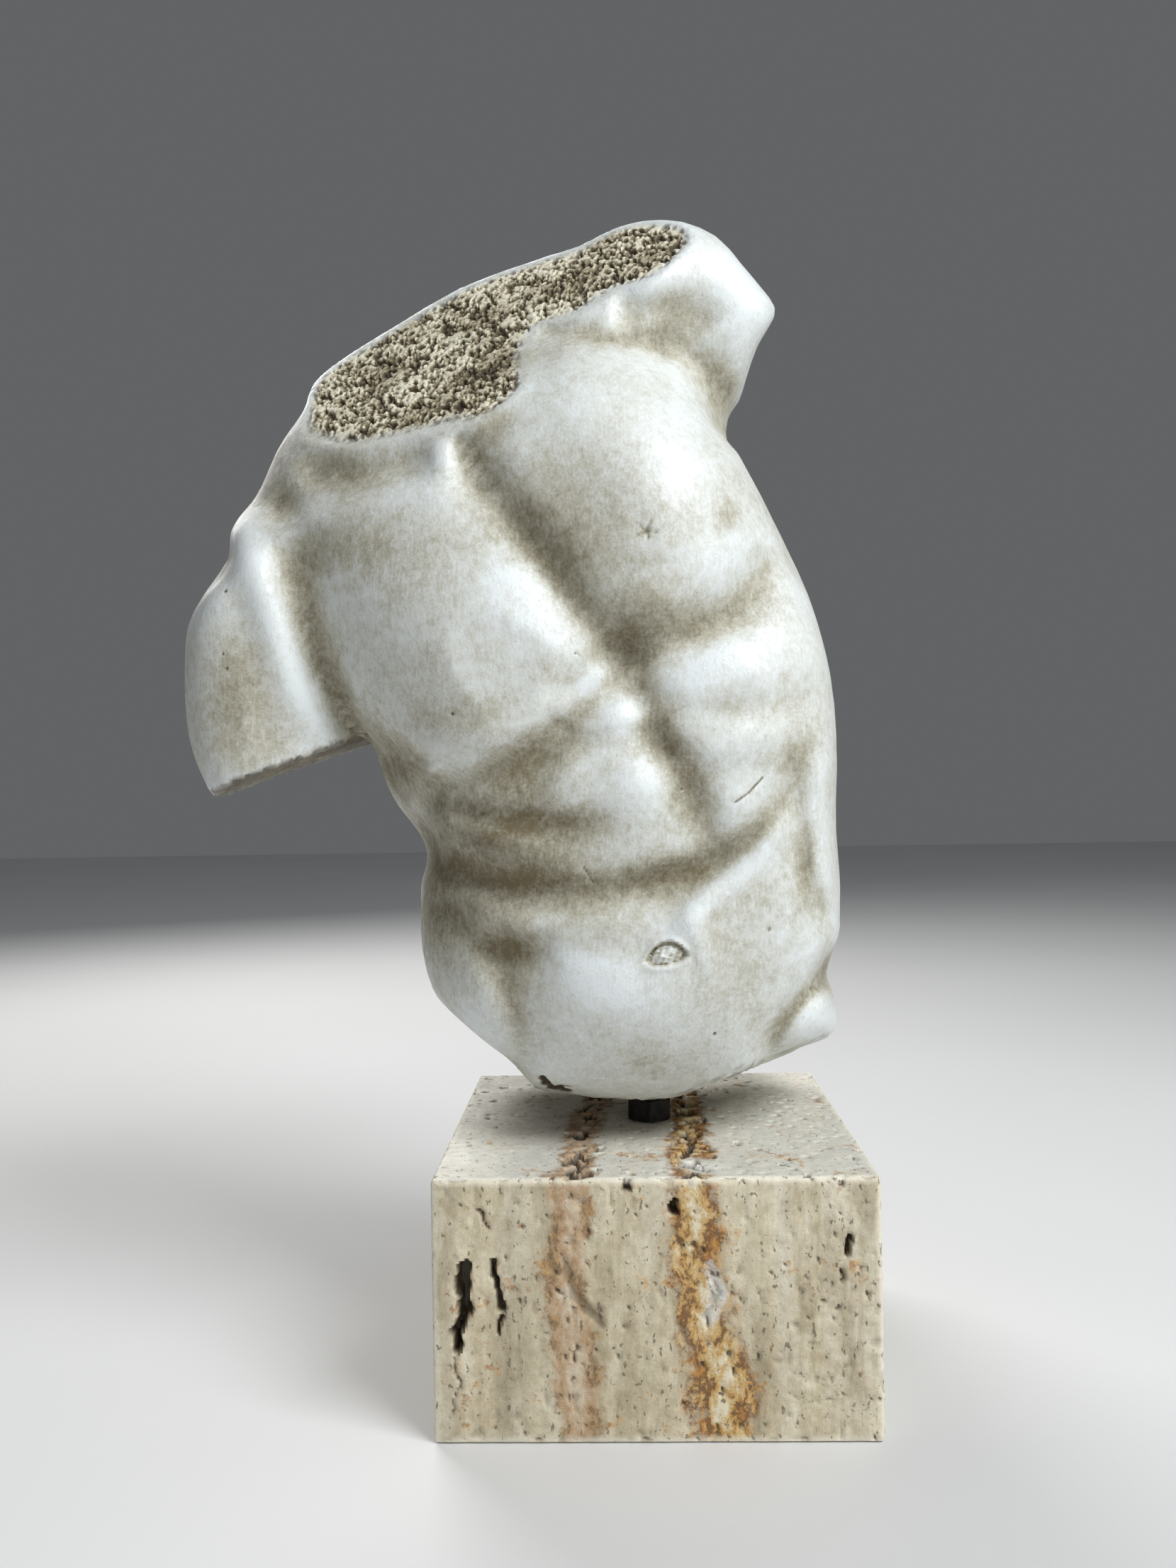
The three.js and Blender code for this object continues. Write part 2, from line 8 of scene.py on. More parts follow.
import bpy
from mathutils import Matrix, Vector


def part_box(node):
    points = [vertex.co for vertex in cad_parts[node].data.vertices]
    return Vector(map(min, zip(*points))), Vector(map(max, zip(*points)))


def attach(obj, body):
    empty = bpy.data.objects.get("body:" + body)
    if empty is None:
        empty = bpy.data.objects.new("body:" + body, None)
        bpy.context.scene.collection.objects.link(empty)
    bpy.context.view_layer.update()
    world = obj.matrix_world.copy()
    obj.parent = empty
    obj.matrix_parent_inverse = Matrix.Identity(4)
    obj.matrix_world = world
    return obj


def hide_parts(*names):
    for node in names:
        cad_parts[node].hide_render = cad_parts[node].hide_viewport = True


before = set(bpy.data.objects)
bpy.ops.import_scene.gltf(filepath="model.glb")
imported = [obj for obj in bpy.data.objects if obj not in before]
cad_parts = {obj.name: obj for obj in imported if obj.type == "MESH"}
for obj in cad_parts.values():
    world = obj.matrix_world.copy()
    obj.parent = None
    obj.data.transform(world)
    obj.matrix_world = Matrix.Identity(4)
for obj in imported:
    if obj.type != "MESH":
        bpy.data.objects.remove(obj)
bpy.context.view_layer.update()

# %% Tools for numbers and meshes
import math

import bpy
import numpy as np
from mathutils import Matrix, Vector, noise

MM = 0.001


def mode(name):
    bpy.ops.object.mode_set(mode=name)


def clear_selection():
    if bpy.context.object and bpy.context.object.mode != "OBJECT":
        mode("OBJECT")
    bpy.ops.object.select_all(action="DESELECT")


def make_active(piece):
    clear_selection()
    piece.select_set(True)
    bpy.context.view_layer.objects.active = piece


def read_rows(parts, name):
    """Three numbers for each point or face of a mesh."""
    flat = np.empty(len(parts) * 3, dtype=np.float32)
    parts.foreach_get(name, flat)
    return flat.reshape(-1, 3).astype(float)


def points_of(piece):
    return read_rows(piece.data.vertices, "co") / MM


def normals_of(piece):
    return read_rows(piece.data.vertices, "normal")


def set_points(piece, points):
    piece.data.vertices.foreach_set("co", (points * MM).astype(np.float32).ravel())
    piece.data.update()


def keep_values(piece, **named):
    """Store a value from 0 to 1 on every point, for the materials to read."""
    for name, values in named.items():
        attribute = piece.data.attributes.new(name, "FLOAT", "POINT")
        attribute.data.foreach_set("value", np.clip(values, 0, 1).astype(np.float32))


def select_only(piece, kind, picked):
    """Enter edit mode with just the picked faces or edges."""
    make_active(piece)
    mode("EDIT")
    bpy.ops.mesh.select_mode(type=kind)
    bpy.ops.mesh.select_all(action="DESELECT")
    mode("OBJECT")
    parts = piece.data.polygons if kind == "FACE" else piece.data.edges
    parts.foreach_set("select", picked)
    mode("EDIT")
    return int(picked.sum())


def select_faces(piece, chosen):
    return select_only(piece, "FACE", chosen(read_rows(piece.data.polygons, "center") / MM))


def subdivide(cuts):
    bpy.ops.mesh.subdivide(number_cuts=cuts)
    mode("OBJECT")


def solid_box(name):
    return [np.array(corner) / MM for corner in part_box(name)]


def ease(t):
    """Climb from 0 to 1 with soft ends while t goes from 0 to 1."""
    t = np.clip(t, 0, 1)
    return t * t * (3 - 2 * t)


def bell(t):
    """1 in the middle and almost 0 beyond 2."""
    return np.exp(-(t ** 2))


def grain(points, size, seed=0.0):
    """Smooth noise from about -1 to 1 at each point; size is its grain in mm."""
    shift = Vector((seed, seed * 0.37, -seed))
    return np.array([noise.noise(Vector(p) / size + shift) for p in points])


clear_selection()
print("numbers are millimetres until they become points of a mesh")

# %% [markdown]
# ## The marble torso: its masses
# A sculptor starts with the big masses and rounds one into the next. Here each
# mass is a distance: how far a point is from a boxy egg or from a tapered limb.
# A soft minimum of two distances is a fillet between them. The same numbers
# made the solid, so the fine skin lies where the solid says. Box modelling
# could do it too, but its edge flow would fight the folds of the belly.

# %% Distances to eggs and limbs
EYE = np.array([-8.0, -387.0, 174.0])  # where the camera stands


def join(a, b, softness):
    h = np.maximum(softness - np.abs(a - b), 0) / softness
    return np.minimum(a, b) - h * h * softness / 4


def egg(p, centre, size, turn, power):
    c, s = math.cos(math.radians(turn)), math.sin(math.radians(turn))
    x, y, z = (p - centre).T
    q = np.abs(np.stack([x * c + z * s, y, z * c - x * s], axis=1)) / size + 1e-6
    k = (q ** power).sum(axis=1) ** (1 / power)
    slope = np.sqrt(((q ** (power - 1) / size) ** 2).sum(axis=1))
    return (k - 1) / (k ** (1 - power) * slope)


def limb(p, start, end, start_radius, end_radius):
    start, end = np.array(start, float), np.array(end, float)
    way = end - start
    t = np.clip((p - start) @ way / (way @ way), 0, 1)
    away = np.linalg.norm(p - start - t[:, None] * way, axis=1)
    return away - start_radius - (end_radius - start_radius) * t


def body_masses(p):
    d = egg(p, (-22, 1, 225), (74, 47, 88), 37.7, 2.5)  # chest
    d = join(d, egg(p, (-4, 0, 160), (66, 44, 62), 10, 2.5), 24)  # waist
    d = join(d, egg(p, (-5, 6, 118), (68, 48, 44), 0, 2.4), 20)  # pelvis
    d = join(d, limb(p, (-112, 4, 238), (20, 14, 322), 29, 31), 20)  # shoulders
    d = join(d, egg(p, (-50, 14, 288), (70, 34, 52), 33, 2.5), 16)  # upper back
    d = join(d, limb(p, (-115, -4, 230), (-115, -4, 172), 30, 28.5), 8)  # lowered arm
    d = join(d, limb(p, (-96, 16, 207), (-74.5, 14, 160), 24, 20), 12)  # armpit fold
    d = join(d, limb(p, (8, 12, 328), (46, 12, 316), 30, 15), 10)  # raised shoulder
    d = join(d, egg(p, (46, 14, 104), (26, 26, 26), 0, 2.2), 6)  # thigh stub
    d = join(d, egg(p, (-34, 30, 108), (32, 30, 34), 0, 2.2), 8)  # seat
    return join(d, egg(p, (30, 30, 108), (32, 30, 34), 0, 2.2), 8)


print("chest is", round(float(-body_masses(np.array([[-20.0, 0.0, 220.0]]))[0])), "mm deep inside")

# %% [markdown]
# ## The outline and the drawn lines
# The outline was drawn as the camera sees it, so it's tested in a plane through
# the object, after each point is moved along its line of sight. Folds and ridges
# are strokes on the same plane: a height, a half width and a line of points.

# %% Curves and strokes
def curve(points, steps, closed):
    points = np.array(points, float)
    count = len(points)
    out = []
    for i in range(count if closed else count - 1):
        pick = [(i + k) % count if closed else min(max(i + k, 0), count - 1) for k in (-1, 0, 1, 2)]
        a, b, c, d = points[pick]
        for t in np.arange(steps) / steps:
            bend = (2 * a - 5 * b + 4 * c - d) * t * t + (3 * b - a - 3 * c + d) * t ** 3
            out.append(0.5 * (2 * b + (c - a) * t + bend))
    return np.array(out if closed else out + [points[-1]])


def to_line(q, line):
    """Distance to an open line, how far along it the nearest place is, and the distance
    with a sign: above zero to the left of the line."""
    best = np.full(len(q), 1e9)
    place = np.zeros(len(q))
    side = np.zeros(len(q))
    for i in range(len(line) - 1):
        way = line[i + 1] - line[i]
        rest = q - line[i]
        t = np.clip(rest @ way / (way @ way), 0, 1)
        away = np.linalg.norm(rest - t[:, None] * way, axis=1)
        left = np.sign(way[0] * rest[:, 1] - way[1] * rest[:, 0])
        nearer = away < best
        best = np.where(nearer, away, best)
        side = np.where(nearer, away * left, side)
        place = np.where(nearer, (i + t) / (len(line) - 1), place)
    return best, place, side


def outside(q, ring):
    """Distance from a closed line, below zero inside it."""
    inside = np.zeros(len(q), bool)
    for a, b in zip(ring, np.roll(ring, -1, axis=0)):
        crosses = (a[1] > q[:, 1]) != (b[1] > q[:, 1])
        x = a[0] + (q[:, 1] - a[1]) * (b[0] - a[0]) / ((b[1] - a[1]) or 1e-9)
        inside ^= crosses & (q[:, 0] < x)
    away = to_line(q, np.vstack([ring, ring[:1]]))[0]
    return np.where(inside, -away, away)


def stroke(q, height, half_width, lean, line):
    """A ridge or a furrow; with lean, its left side stands higher than its right side.

    Two rounded masses meet in a furrow, so its sides bulge and its bottom is tight.
    Two half widths are those of the left and of the right side, along the line.
    """
    left, right = np.broadcast_to(half_width, 2)
    line = curve(line, 6, False)
    low, high = line.min(axis=0) - 4 * max(left, right), line.max(axis=0) + 4 * max(left, right)
    near = ((q >= low) & (q <= high)).all(axis=1)
    out = np.zeros(len(q))
    if not near.any():
        return out
    away, place, side = to_line(q[near], line)
    fade = ease(np.minimum(place, 1 - place) / 0.25 + 0.1)
    width = np.where(side > 0, left, right)
    if height > 0:
        shape = bell(away / width)
    else:
        soft = 0.4 * width
        shape = np.exp(-(np.hypot(away, soft) - soft) / (0.8 * width))
        shape *= ease((4 * width - away) / width)
    step = np.tanh(side / (0.7 * width)) * bell(away / (2.2 * width))
    out[near] = fade * (height * shape + lean * step)
    return out


def swelling(q, height, middle, size, turn):
    c, s = math.cos(math.radians(turn)), math.sin(math.radians(turn))
    x, z = (q - middle).T
    return height * np.exp(-1.2 * (((x * c + z * s) / size[0]) ** 2 + ((z * c - x * s) / size[1]) ** 2))


test_height = float(stroke(np.zeros((1, 2)), 1, 4, 0, [(-9, 0), (9, 0)])[0])
print("a stroke 1 mm high is", round(test_height, 2), "on its line")

# %% The outline, drawn part by part
NECK_REAR = [(-103.5, 295.5), (-101.5, 302.5), (-94.5, 308.5), (-77, 318.5), (-54.5, 331),
             (-32, 338.5), (-19.5, 343.5), (-10, 349), (2.5, 351)]
SHOULDER_END = [(15, 350), (24.5, 345.5), (32, 336.5), (38, 329), (42, 323), (40.5, 318.5),
                (36.5, 312), (33, 302.5), (30.5, 294.5), (28, 289)]
LONG_FLANK = [(30, 279.5), (38, 262.5), (45, 247.5), (51, 233), (55.5, 215.5), (58.5, 198.5),
              (59, 178.5), (58.5, 159), (59, 142), (59, 129.5), (56.5, 121), (54.5, 114)]
THIGH_STUB = [(56.5, 109), (57.5, 100), (55, 95.5), (47, 93), (39, 88), (31.5, 84)]
BELLY_FOOT = [(27.5, 79.5), (18, 76.5), (5.5, 75.5), (-7, 76.5), (-16.5, 77.5), (-26.5, 80), (-35, 81.5)]
HIP = [(-41, 88), (-46, 92.5), (-56, 101.5), (-65.5, 110), (-71, 119), (-72, 129),
       (-71, 138.5), (-68, 148), (-67, 154)]
UNDER_ARM = [(-69.5, 161), (-76, 169.5), (-82, 178), (-87, 185), (-91, 188)]
ARM_STUMP = [(-95, 185), (-104, 180), (-117, 175.5), (-129.5, 172.5), (-134.5, 173.5), (-138.5, 180.5),
             (-143, 192), (-144.5, 204.5), (-144, 217), (-142.5, 226.5), (-137, 236.5)]
SHOULDER_SLOPE = [(-129, 247.5), (-128, 256.5), (-123, 268.5), (-115, 281), (-107.5, 289.5)]
OUTLINE = curve(NECK_REAR + SHOULDER_END + LONG_FLANK + THIGH_STUB + BELLY_FOOT + HIP
                + UNDER_ARM + ARM_STUMP + SHOULDER_SLOPE, 2, True)

LOWERED_CHEST = curve([
    (-53, 264.5), (-43.5, 260.5), (-31, 243), (-19, 228), (-10.5, 217.5), (-22.5, 198.5),
    (-36.5, 187.5), (-47.5, 182.5), (-60.5, 179.5), (-74.5, 185.5), (-90.5, 195),
    (-96.5, 206.5), (-101.5, 222.5), (-103.5, 240.5), (-95.5, 255.5), (-80.5, 262.5)], 2, True)
RAISED_CHEST = curve([
    (-35.5, 306), (-43, 284), (-40.5, 271.5), (-31, 251.5), (-18, 233), (-7, 221), (8, 226.5),
    (21.5, 232), (30.5, 239.5), (33.5, 250.5), (28, 263), (25, 282.5), (21.5, 298.5),
    (13, 307), (-3, 311.5), (-22.5, 316)], 2, True)
UPPER_BELLY = curve([
    (-66, 158), (-55.5, 151), (-48, 144.5), (-37.5, 141.5), (-23.5, 140), (-8, 142.5), (6.5, 145.5),
    (19, 149.5), (31, 156), (41.5, 166.5), (46.5, 186), (42, 208.5), (25, 223.5), (-4.5, 216.5),
    (-19.5, 207), (-24.5, 202), (-49.5, 193), (-72, 188)], 2, True)
print("the outline has", len(OUTLINE), "corners")

# %% Folds, furrows and ridges of the front
FRONT_LINES = [
    # the pit of the neck and the tendon beside it
    (-3.4, 4, 0, [(-58, 288), (-55, 281), (-51.5, 274.5), (-46, 266)]),
    (2.4, 4, 0, [(-38, 306), (-42.5, 300), (-50.5, 291), (-60.5, 282.5), (-66, 278)]),
    # the furrow between the chest muscles, on down the middle of the belly
    (-3.4, (9, 6), 2.2, [(-58, 283), (-53, 277.5), (-46, 268.5), (-37.5, 257.5), (-28.5, 246), (-20, 233.5),
                         (-7, 218), (-1.5, 204.5), (8, 187), (14, 175.5), (19, 164), (22.5, 153), (25, 142)]),
    # collar bone of the lowered side, the hollow over it
    (1.8, 5, -1.2, [(-120, 250), (-112, 256), (-102.5, 261), (-82, 267.5), (-65, 270), (-52, 268)]),
    (-2.4, 6.5, 0, [(-108, 272), (-99, 275), (-89, 274), (-75.5, 276), (-64, 280)]),
    # the furrow of the armpit and the long marks on the arm stump
    (-3.4, (10, 8), 0.6, [(-113, 262), (-108.5, 252), (-105.5, 238.5), (-103, 225), (-99, 211.5),
                          (-92.5, 197.5), (-86, 188), (-80, 180)]),
    (2.6, 6, 0, [(-125, 252), (-121.5, 244.5), (-114.5, 223), (-105.5, 200.5), (-96, 187), (-92, 178)]),
    (-1.5, 4.5, 0, [(-117, 256), (-114, 248), (-109.5, 232), (-104.5, 216), (-101, 206)]),
    (-1.4, 7, 0, [(-133, 252), (-130, 241.5), (-124.5, 219), (-119.5, 196), (-116, 180)]),
    # collar bone furrow and hollow of the raised shoulder, and its lower edge
    (-3.2, 4.5, 0, [(-36, 320), (-28.5, 318.5), (-18.5, 317), (-7.5, 314.5), (3.5, 312.5), (14, 310)]),
    (-3.0, 8, 0, [(-8, 322), (-0.5, 323.5), (10, 325), (19.5, 320.5), (24, 315)]),
    (-5.0, (6, 7), 0, [(2, 314), (10.5, 312), (18, 307), (23, 299.5), (27.5, 289), (31, 278)]),
    # lower edges of the chest muscles and the outer edge of the raised one
    (-3.2, (9, 7), 2.6, [(-96, 194), (-87.5, 190), (-72, 183), (-59, 179.5), (-47.5, 181), (-38.5, 185.5),
                         (-28.5, 193), (-19.5, 205.5), (-8.5, 218.5), (-2, 226)]),
    (-3.8, (10, 6), 2.4, [(-14, 221), (-6.5, 218.5), (2, 218), (11, 221), (21, 226), (30, 232.5),
                          (36, 241.5), (39, 252)]),
    (-1.2, 8, -1.0, [(25, 297), (29, 287), (32, 271.5), (36.5, 256), (37, 242.5), (36, 232)]),
    # the straight belly muscle: its facets, its outer furrow, its crossing band
    (2.2, 3.6, 0, [(-28, 195), (-24, 199.5), (-17, 206), (-10.5, 212), (-7, 217)]),
    (-2.2, 8, 0.6, [(-17, 212), (-21.5, 204), (-26, 195), (-31, 183), (-33.5, 172), (-31, 162)]),
    (-1.7, (4, 5), 1.0, [(-26, 186), (-17.5, 188.5), (-7.5, 190), (3.5, 189.5), (7.5, 187), (13, 184)]),
    # ribs of the long side
    (-1.0, 5.5, 0.6, [(-3, 206), (1, 204), (9.5, 200.5), (22.5, 198.5), (37, 199), (48.5, 201.5), (57, 204)]),
    (-0.8, 5.5, 0.5, [(10, 184), (15.5, 181.5), (23.5, 179.5), (37, 182), (45, 184), (56, 186)]),
    # small folds of the bent side
    (-2.8, (4.2, 5.5), 1.3, [(-72, 177), (-67, 175.5), (-59.5, 171.5), (-53.5, 168), (-46.5, 165.5),
                             (-37.5, 164), (-28.5, 163), (-19.5, 165), (-12, 169)]),
    (-1.4, 4, 0, [(-76, 178), (-70, 170), (-66, 163), (-64, 156)]),
    # the long crease and the band beside it
    (-3.6, (8, 6), 1.6, [(-74, 168), (-69, 163.5), (-65, 158.5), (-60, 154), (-53.5, 149), (-46, 144.5),
                         (-37, 142), (-22, 141.5), (-10.5, 143), (3.5, 145), (18.5, 148.5), (30, 154),
                         (38, 163), (43, 172), (45, 180)]),
    (3.0, 4.4, 0, [(8, 124), (13, 130.5), (17, 136.5), (25, 143.5), (35, 151.5), (42.5, 160), (46, 168)]),
    (1.2, 3, 0, [(15, 135), (16, 130), (17, 124.5), (19, 118.5), (21, 112)]),
    # hip line, groin line, the line over the lower belly
    (-3.2, (6, 7), 1.0, [(-70, 146), (-64.5, 140), (-60, 135), (-55.5, 129), (-49, 124.5), (-42, 122),
                         (-35, 123.5), (-28, 126)]),
    (-2.2, 7, 0, [(-48, 130), (-47.5, 124), (-46, 118), (-43.5, 109), (-40.5, 99), (-38, 89), (-36, 80)]),
    (-1.1, 6, 0.4, [(-40, 122), (-33, 122.5), (-21.5, 123.5), (-10.5, 123.5), (-1.5, 123), (6, 122)]),
    # the hollow of the long flank, and the upper edge of the thigh
    (-2.4, 4.6, 0, [(45, 182), (46, 171), (47, 161), (49, 151), (52, 139.5), (54, 133), (57, 126)]),
    (1.4, 4, 0, [(57, 186), (55, 177), (53.5, 167.5), (53.5, 157.5), (55, 146), (58, 136)]),
    (-4.6, 3.6, 0, [(64, 122), (59, 117), (54, 112.5), (48, 107), (42, 99.5), (37, 92), (33, 84)]),
]
FRONT_SWELLINGS = [
    (6.8, (-56, 217), (38, 33), -10),  # chest of the lowered side
    (1.2, (-78.5, 240.5), (32, 22), 20),
    (7.5, (5, 264), (28, 38), 14),  # chest of the raised side
    (1.5, (-18, 293.5), (17.5, 17.5), 0),
    (-4.0, (-34.5, 313.5), (12.5, 12.5), 0),  # slope towards the neck break
    (3.5, (4.5, 331), (15, 8.5), 30),
    (2.2, (-61, 275.5), (7, 4.5), 0),  # end of the collar bone
    (-1.6, (-111.5, 264.5), (6.5, 5.5), 0),  # hollow on top of the shoulder
    (5.2, (-8.5, 109.5), (37, 25), 0),  # belly
    (1.6, (-25.5, 132.5), (27, 9), 4),
    (2.0, (43.5, 144.5), (17.5, 22), 20),  # flank and ribs of the long side
    (1.8, (33, 212), (21, 11), 0),
    (1.4, (36, 188), (18.5, 9), 0),
    (1.0, (38, 165), (15, 10), 20),
    (1.4, (-4, 198), (10, 8), 0),  # facets of the straight belly muscle
    (2.2, (1, 174), (12, 13), -10),
    (0.9, (-41, 174.5), (18.5, 6.5), 0),  # folds of the bent side
    (2.4, (-45, 157.5), (18, 6.5), -10),
    (1.4, (-62.5, 166), (3.2, 4), 0),
    (1.8, (-50, 136.5), (15, 6.5), -18),
    (2.4, (-52.5, 114.5), (8.5, 15), 10),  # hip
]
BACK_LINES = [
    (-5.0, 9, 0, [(-62, 330), (-38, 285), (-12, 225), (0, 170), (-2, 125)]),  # spine
    (2.5, 9, 0, [(-78, 285), (-84, 250), (-66, 222)]),  # shoulder blades
    (2.5, 9, 0, [(-18, 330), (10, 285), (8, 262)]),
    (-2.0, 8, 0, [(-92, 262), (-70, 212), (-45, 180)]),  # edges of the broad back muscles
    (-2.0, 8, 0, [(30, 282), (38, 240), (34, 205)]),
    (-6.0, 5, 0, [(-2, 128), (-2, 104), (-2, 84)]),  # cleft of the seat
    (-1.6, 9, 0, [(-46, 133), (-20, 136)]),
    (-1.6, 9, 0, [(42, 134), (16, 137)]),
]
print(len(FRONT_LINES), "strokes and", len(FRONT_SWELLINGS), "swellings on the front")

# %% [markdown]
# ## The skin of the torso as one distance
# All of it comes together in one function: masses, outline, strokes, breaks.
# The breaks are flat cuts with a hard edge, because broken stone has one.

# %% The whole torso as a distance
def flat_cut(point, facing):
    facing = np.array(facing, float) / np.linalg.norm(facing)
    return lambda p: (p - point) @ facing


NECK_BREAK = flat_cut((-40, -27, 297), (-0.3, -0.73, 0.62))
ARM_BREAK = flat_cut((-135, 0, 173), (0.34, 0.05, -0.94))
THIGH_BREAK = flat_cut((43, 5, 88), (0.35, -0.25, -0.9))
FOOT = flat_cut((0, 0, 81.5), (0, 0, -1))
ARMPIT_X = -84  # the arm's break ends here
SOFT_RIM = 7  # how far the outline rounds into the masses
RIM_SHIFT = 1.5  # what that rounding takes off, given back


def drawn(p):
    nearness = EYE[1] / (EYE[1] - p[:, 1])
    return EYE[[0, 2]] + (p[:, [0, 2]] - EYE[[0, 2]]) * nearness[:, None], nearness


def relief(q):
    h = sum(stroke(q, *line) for line in FRONT_LINES)
    h += sum(swelling(q, *area) for area in FRONT_SWELLINGS)
    h += 1.5 * ease(0.5 - outside(q, LOWERED_CHEST) / 16)
    h += 1.2 * ease(0.5 - outside(q, RAISED_CHEST) / 16)
    return h + 1.7 * ease(0.5 - outside(q, UPPER_BELLY) / 13)


# The relief and the outline are worked out once, on a sheet of points half a
# millimetre apart, and read off that sheet from then on.
SHEET_STEP = 0.5
SHEET_LOW = np.array([-162.0, 62.0])
SHEET_SIZE = (510, 640)


def spread_out(ask):
    x, z = [low + SHEET_STEP * np.arange(count) for low, count in zip(SHEET_LOW, SHEET_SIZE)]
    places = np.stack(np.meshgrid(x, z, indexing="ij"), axis=2).reshape(-1, 2)
    return ask(places).reshape(SHEET_SIZE)


def blurred(sheet, times):
    for _ in range(times):
        for axis in (0, 1):
            sheet = (np.roll(sheet, 1, axis) + 2 * sheet + np.roll(sheet, -1, axis)) / 4
    return sheet


def read_off(sheet, q):
    place = np.clip((q - SHEET_LOW) / SHEET_STEP, 0, np.array(SHEET_SIZE) - 1.001)
    i, k = place.astype(int).T
    f, g = (place - np.stack([i, k], axis=1)).T
    low = sheet[i, k] * (1 - g) + sheet[i, k + 1] * g
    high = sheet[i + 1, k] * (1 - g) + sheet[i + 1, k + 1] * g
    return low * (1 - f) + high * f


RELIEF = blurred(spread_out(relief), 6)
TO_OUTLINE = spread_out(lambda q: outside(q, OUTLINE))
print("relief from", RELIEF.min().round(1), "to", RELIEF.max().round(1), "mm")


def unbroken(p):
    """The skin as if the breaks went on: what is left of the torso before the cuts."""
    q, nearness = drawn(p)
    d = -join(-body_masses(p), -(read_off(TO_OUTLINE, q) / nearness - RIM_SHIFT), SOFT_RIM)
    # the relief of the front and that of the back both fade out at the sides
    front = ease((10 - p[:, 1]) / 28)
    seen = front > 0
    d[seen] -= front[seen] * read_off(RELIEF, q[seen])
    back = ease((p[:, 1] - 8) / 24)
    hidden = back > 0
    d[hidden] -= back[hidden] * sum(stroke(p[hidden][:, [0, 2]], *line) for line in BACK_LINES)
    return d


def torso_distance(p):
    beyond_armpit = p[:, 0] - ARMPIT_X + 0.25 * (p[:, 2] - 190)
    arm = np.minimum(ARM_BREAK(p), -beyond_armpit)
    return np.max([unbroken(p), NECK_BREAK(p), arm, THIGH_BREAK(p), FOOT(p)], axis=0)


def downhill(p, reach=0.35):
    """Direction in which the distance grows fastest."""
    here = torso_distance(p)
    ahead = [torso_distance(p + reach * step) - here for step in np.eye(3)]
    return here, np.stack(ahead, axis=1) / reach


# %% A fine skin over the solid
VOXEL = 1.75 * MM
SOCKET_RADIUS = 5.6
SOCKET_TOP = 103


def merge_doubles(piece):
    make_active(piece)
    mode("EDIT")
    bpy.ops.mesh.select_all(action="SELECT")
    bpy.ops.mesh.remove_doubles(threshold=1e-6)
    mode("OBJECT")


def copy_of(node, name):
    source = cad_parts[node]
    piece = source.copy()
    piece.data = source.data.copy()
    piece.name = piece.data.name = name
    for collection in source.users_collection:
        collection.objects.link(piece)
    piece.parent = None
    piece.matrix_world = Matrix.Identity(4)
    merge_doubles(piece)
    return piece


torso = copy_of("marble_torso", "marble_torso_carved")
remesh = torso.modifiers.new("even facets", "REMESH")
remesh.mode = "VOXEL"
remesh.voxel_size = VOXEL
bpy.ops.object.modifier_apply(modifier=remesh.name)


def is_skin(p):
    """True outside the socket of the rod, whose wall stays as it is."""
    return (np.hypot(p[:, 0], p[:, 1]) > SOCKET_RADIUS) | (p[:, 2] > SOCKET_TOP)


def settle(points, rounds=3):
    """Move points along the slope onto the skin."""
    points = points.copy()
    skin = is_skin(points)
    for _ in range(rounds):
        here, slope = downhill(points[skin])
        size = np.maximum((slope ** 2).sum(axis=1), 0.3)
        points[skin] -= np.clip(slope * (here / size)[:, None], -1.5, 1.5)
    return points


set_points(torso, settle(points_of(torso)))
print("torso skin:", len(torso.data.polygons), "faces")

# %% [markdown]
# ## Small marks in the marble
# The navel, the nipple marks, a few scratches, pin holes and a chip at the foot
# are too small for the even skin. Only the faces around them are subdivided,
# then their points are pressed in along their normals. The neck break gets the
# same treatment all over, because broken marble shows its grain. The other
# breaks are hardly seen, so the faces of the skin are fine enough for them.

# %% Places of the small marks
NAVEL = (6.3, 121.3)
STAR_MARK = (2.1, 254.3)
NIPPLE_BUMP = (-65.9, 181.5)
SCRATCHES = [
    [(28.6, 168.6), (33.0, 171.5), (37.4, 176.2)],
    [(-19.3, 149.0), (-16.4, 144.0)],
]
CHIPS = [[(-34.0, 82.5), (-31.0, 79.8), (-25.5, 78.6)]]
ABOVE_NECK = 250  # the neck break lies above this height
PIN_HOLES = [(-131.4, 213.4), (-132.6, 218.2), (-60, 197.8), (-20.6, 216.3), (-131.5, 238),
             (12, 173), (21, 96), (38.5, 128.6)]


def gap_to(line, q):
    return to_line(q, np.array(line, float))[0]


def near_mark(p):
    q, _ = drawn(p)
    spots = [(NAVEL, 10), (STAR_MARK, 7), (NIPPLE_BUMP, 5)] + [(hole, 1.6) for hole in PIN_HOLES]
    close = np.zeros(len(p), bool)
    for middle, radius in spots:
        close |= np.linalg.norm(q - middle, axis=1) < radius
    for lines, radius in ((SCRATCHES, 1.5), (CHIPS, 3.5)):
        for line in lines:
            close |= gap_to(line, q) < radius
    return close & (p[:, 1] < 0)


def on_break(p):
    return (np.abs(NECK_BREAK(p)) < 0.6) & (p[:, 2] > ABOVE_NECK)


for title, chosen in (("around the marks", near_mark), ("on the neck break", on_break)):
    count = select_faces(torso, chosen)
    subdivide(2)
    print("faces", title + ":", count)

points = points_of(torso)
fine = near_mark(points)
points[fine] = settle(points[fine], 1)
set_points(torso, points)


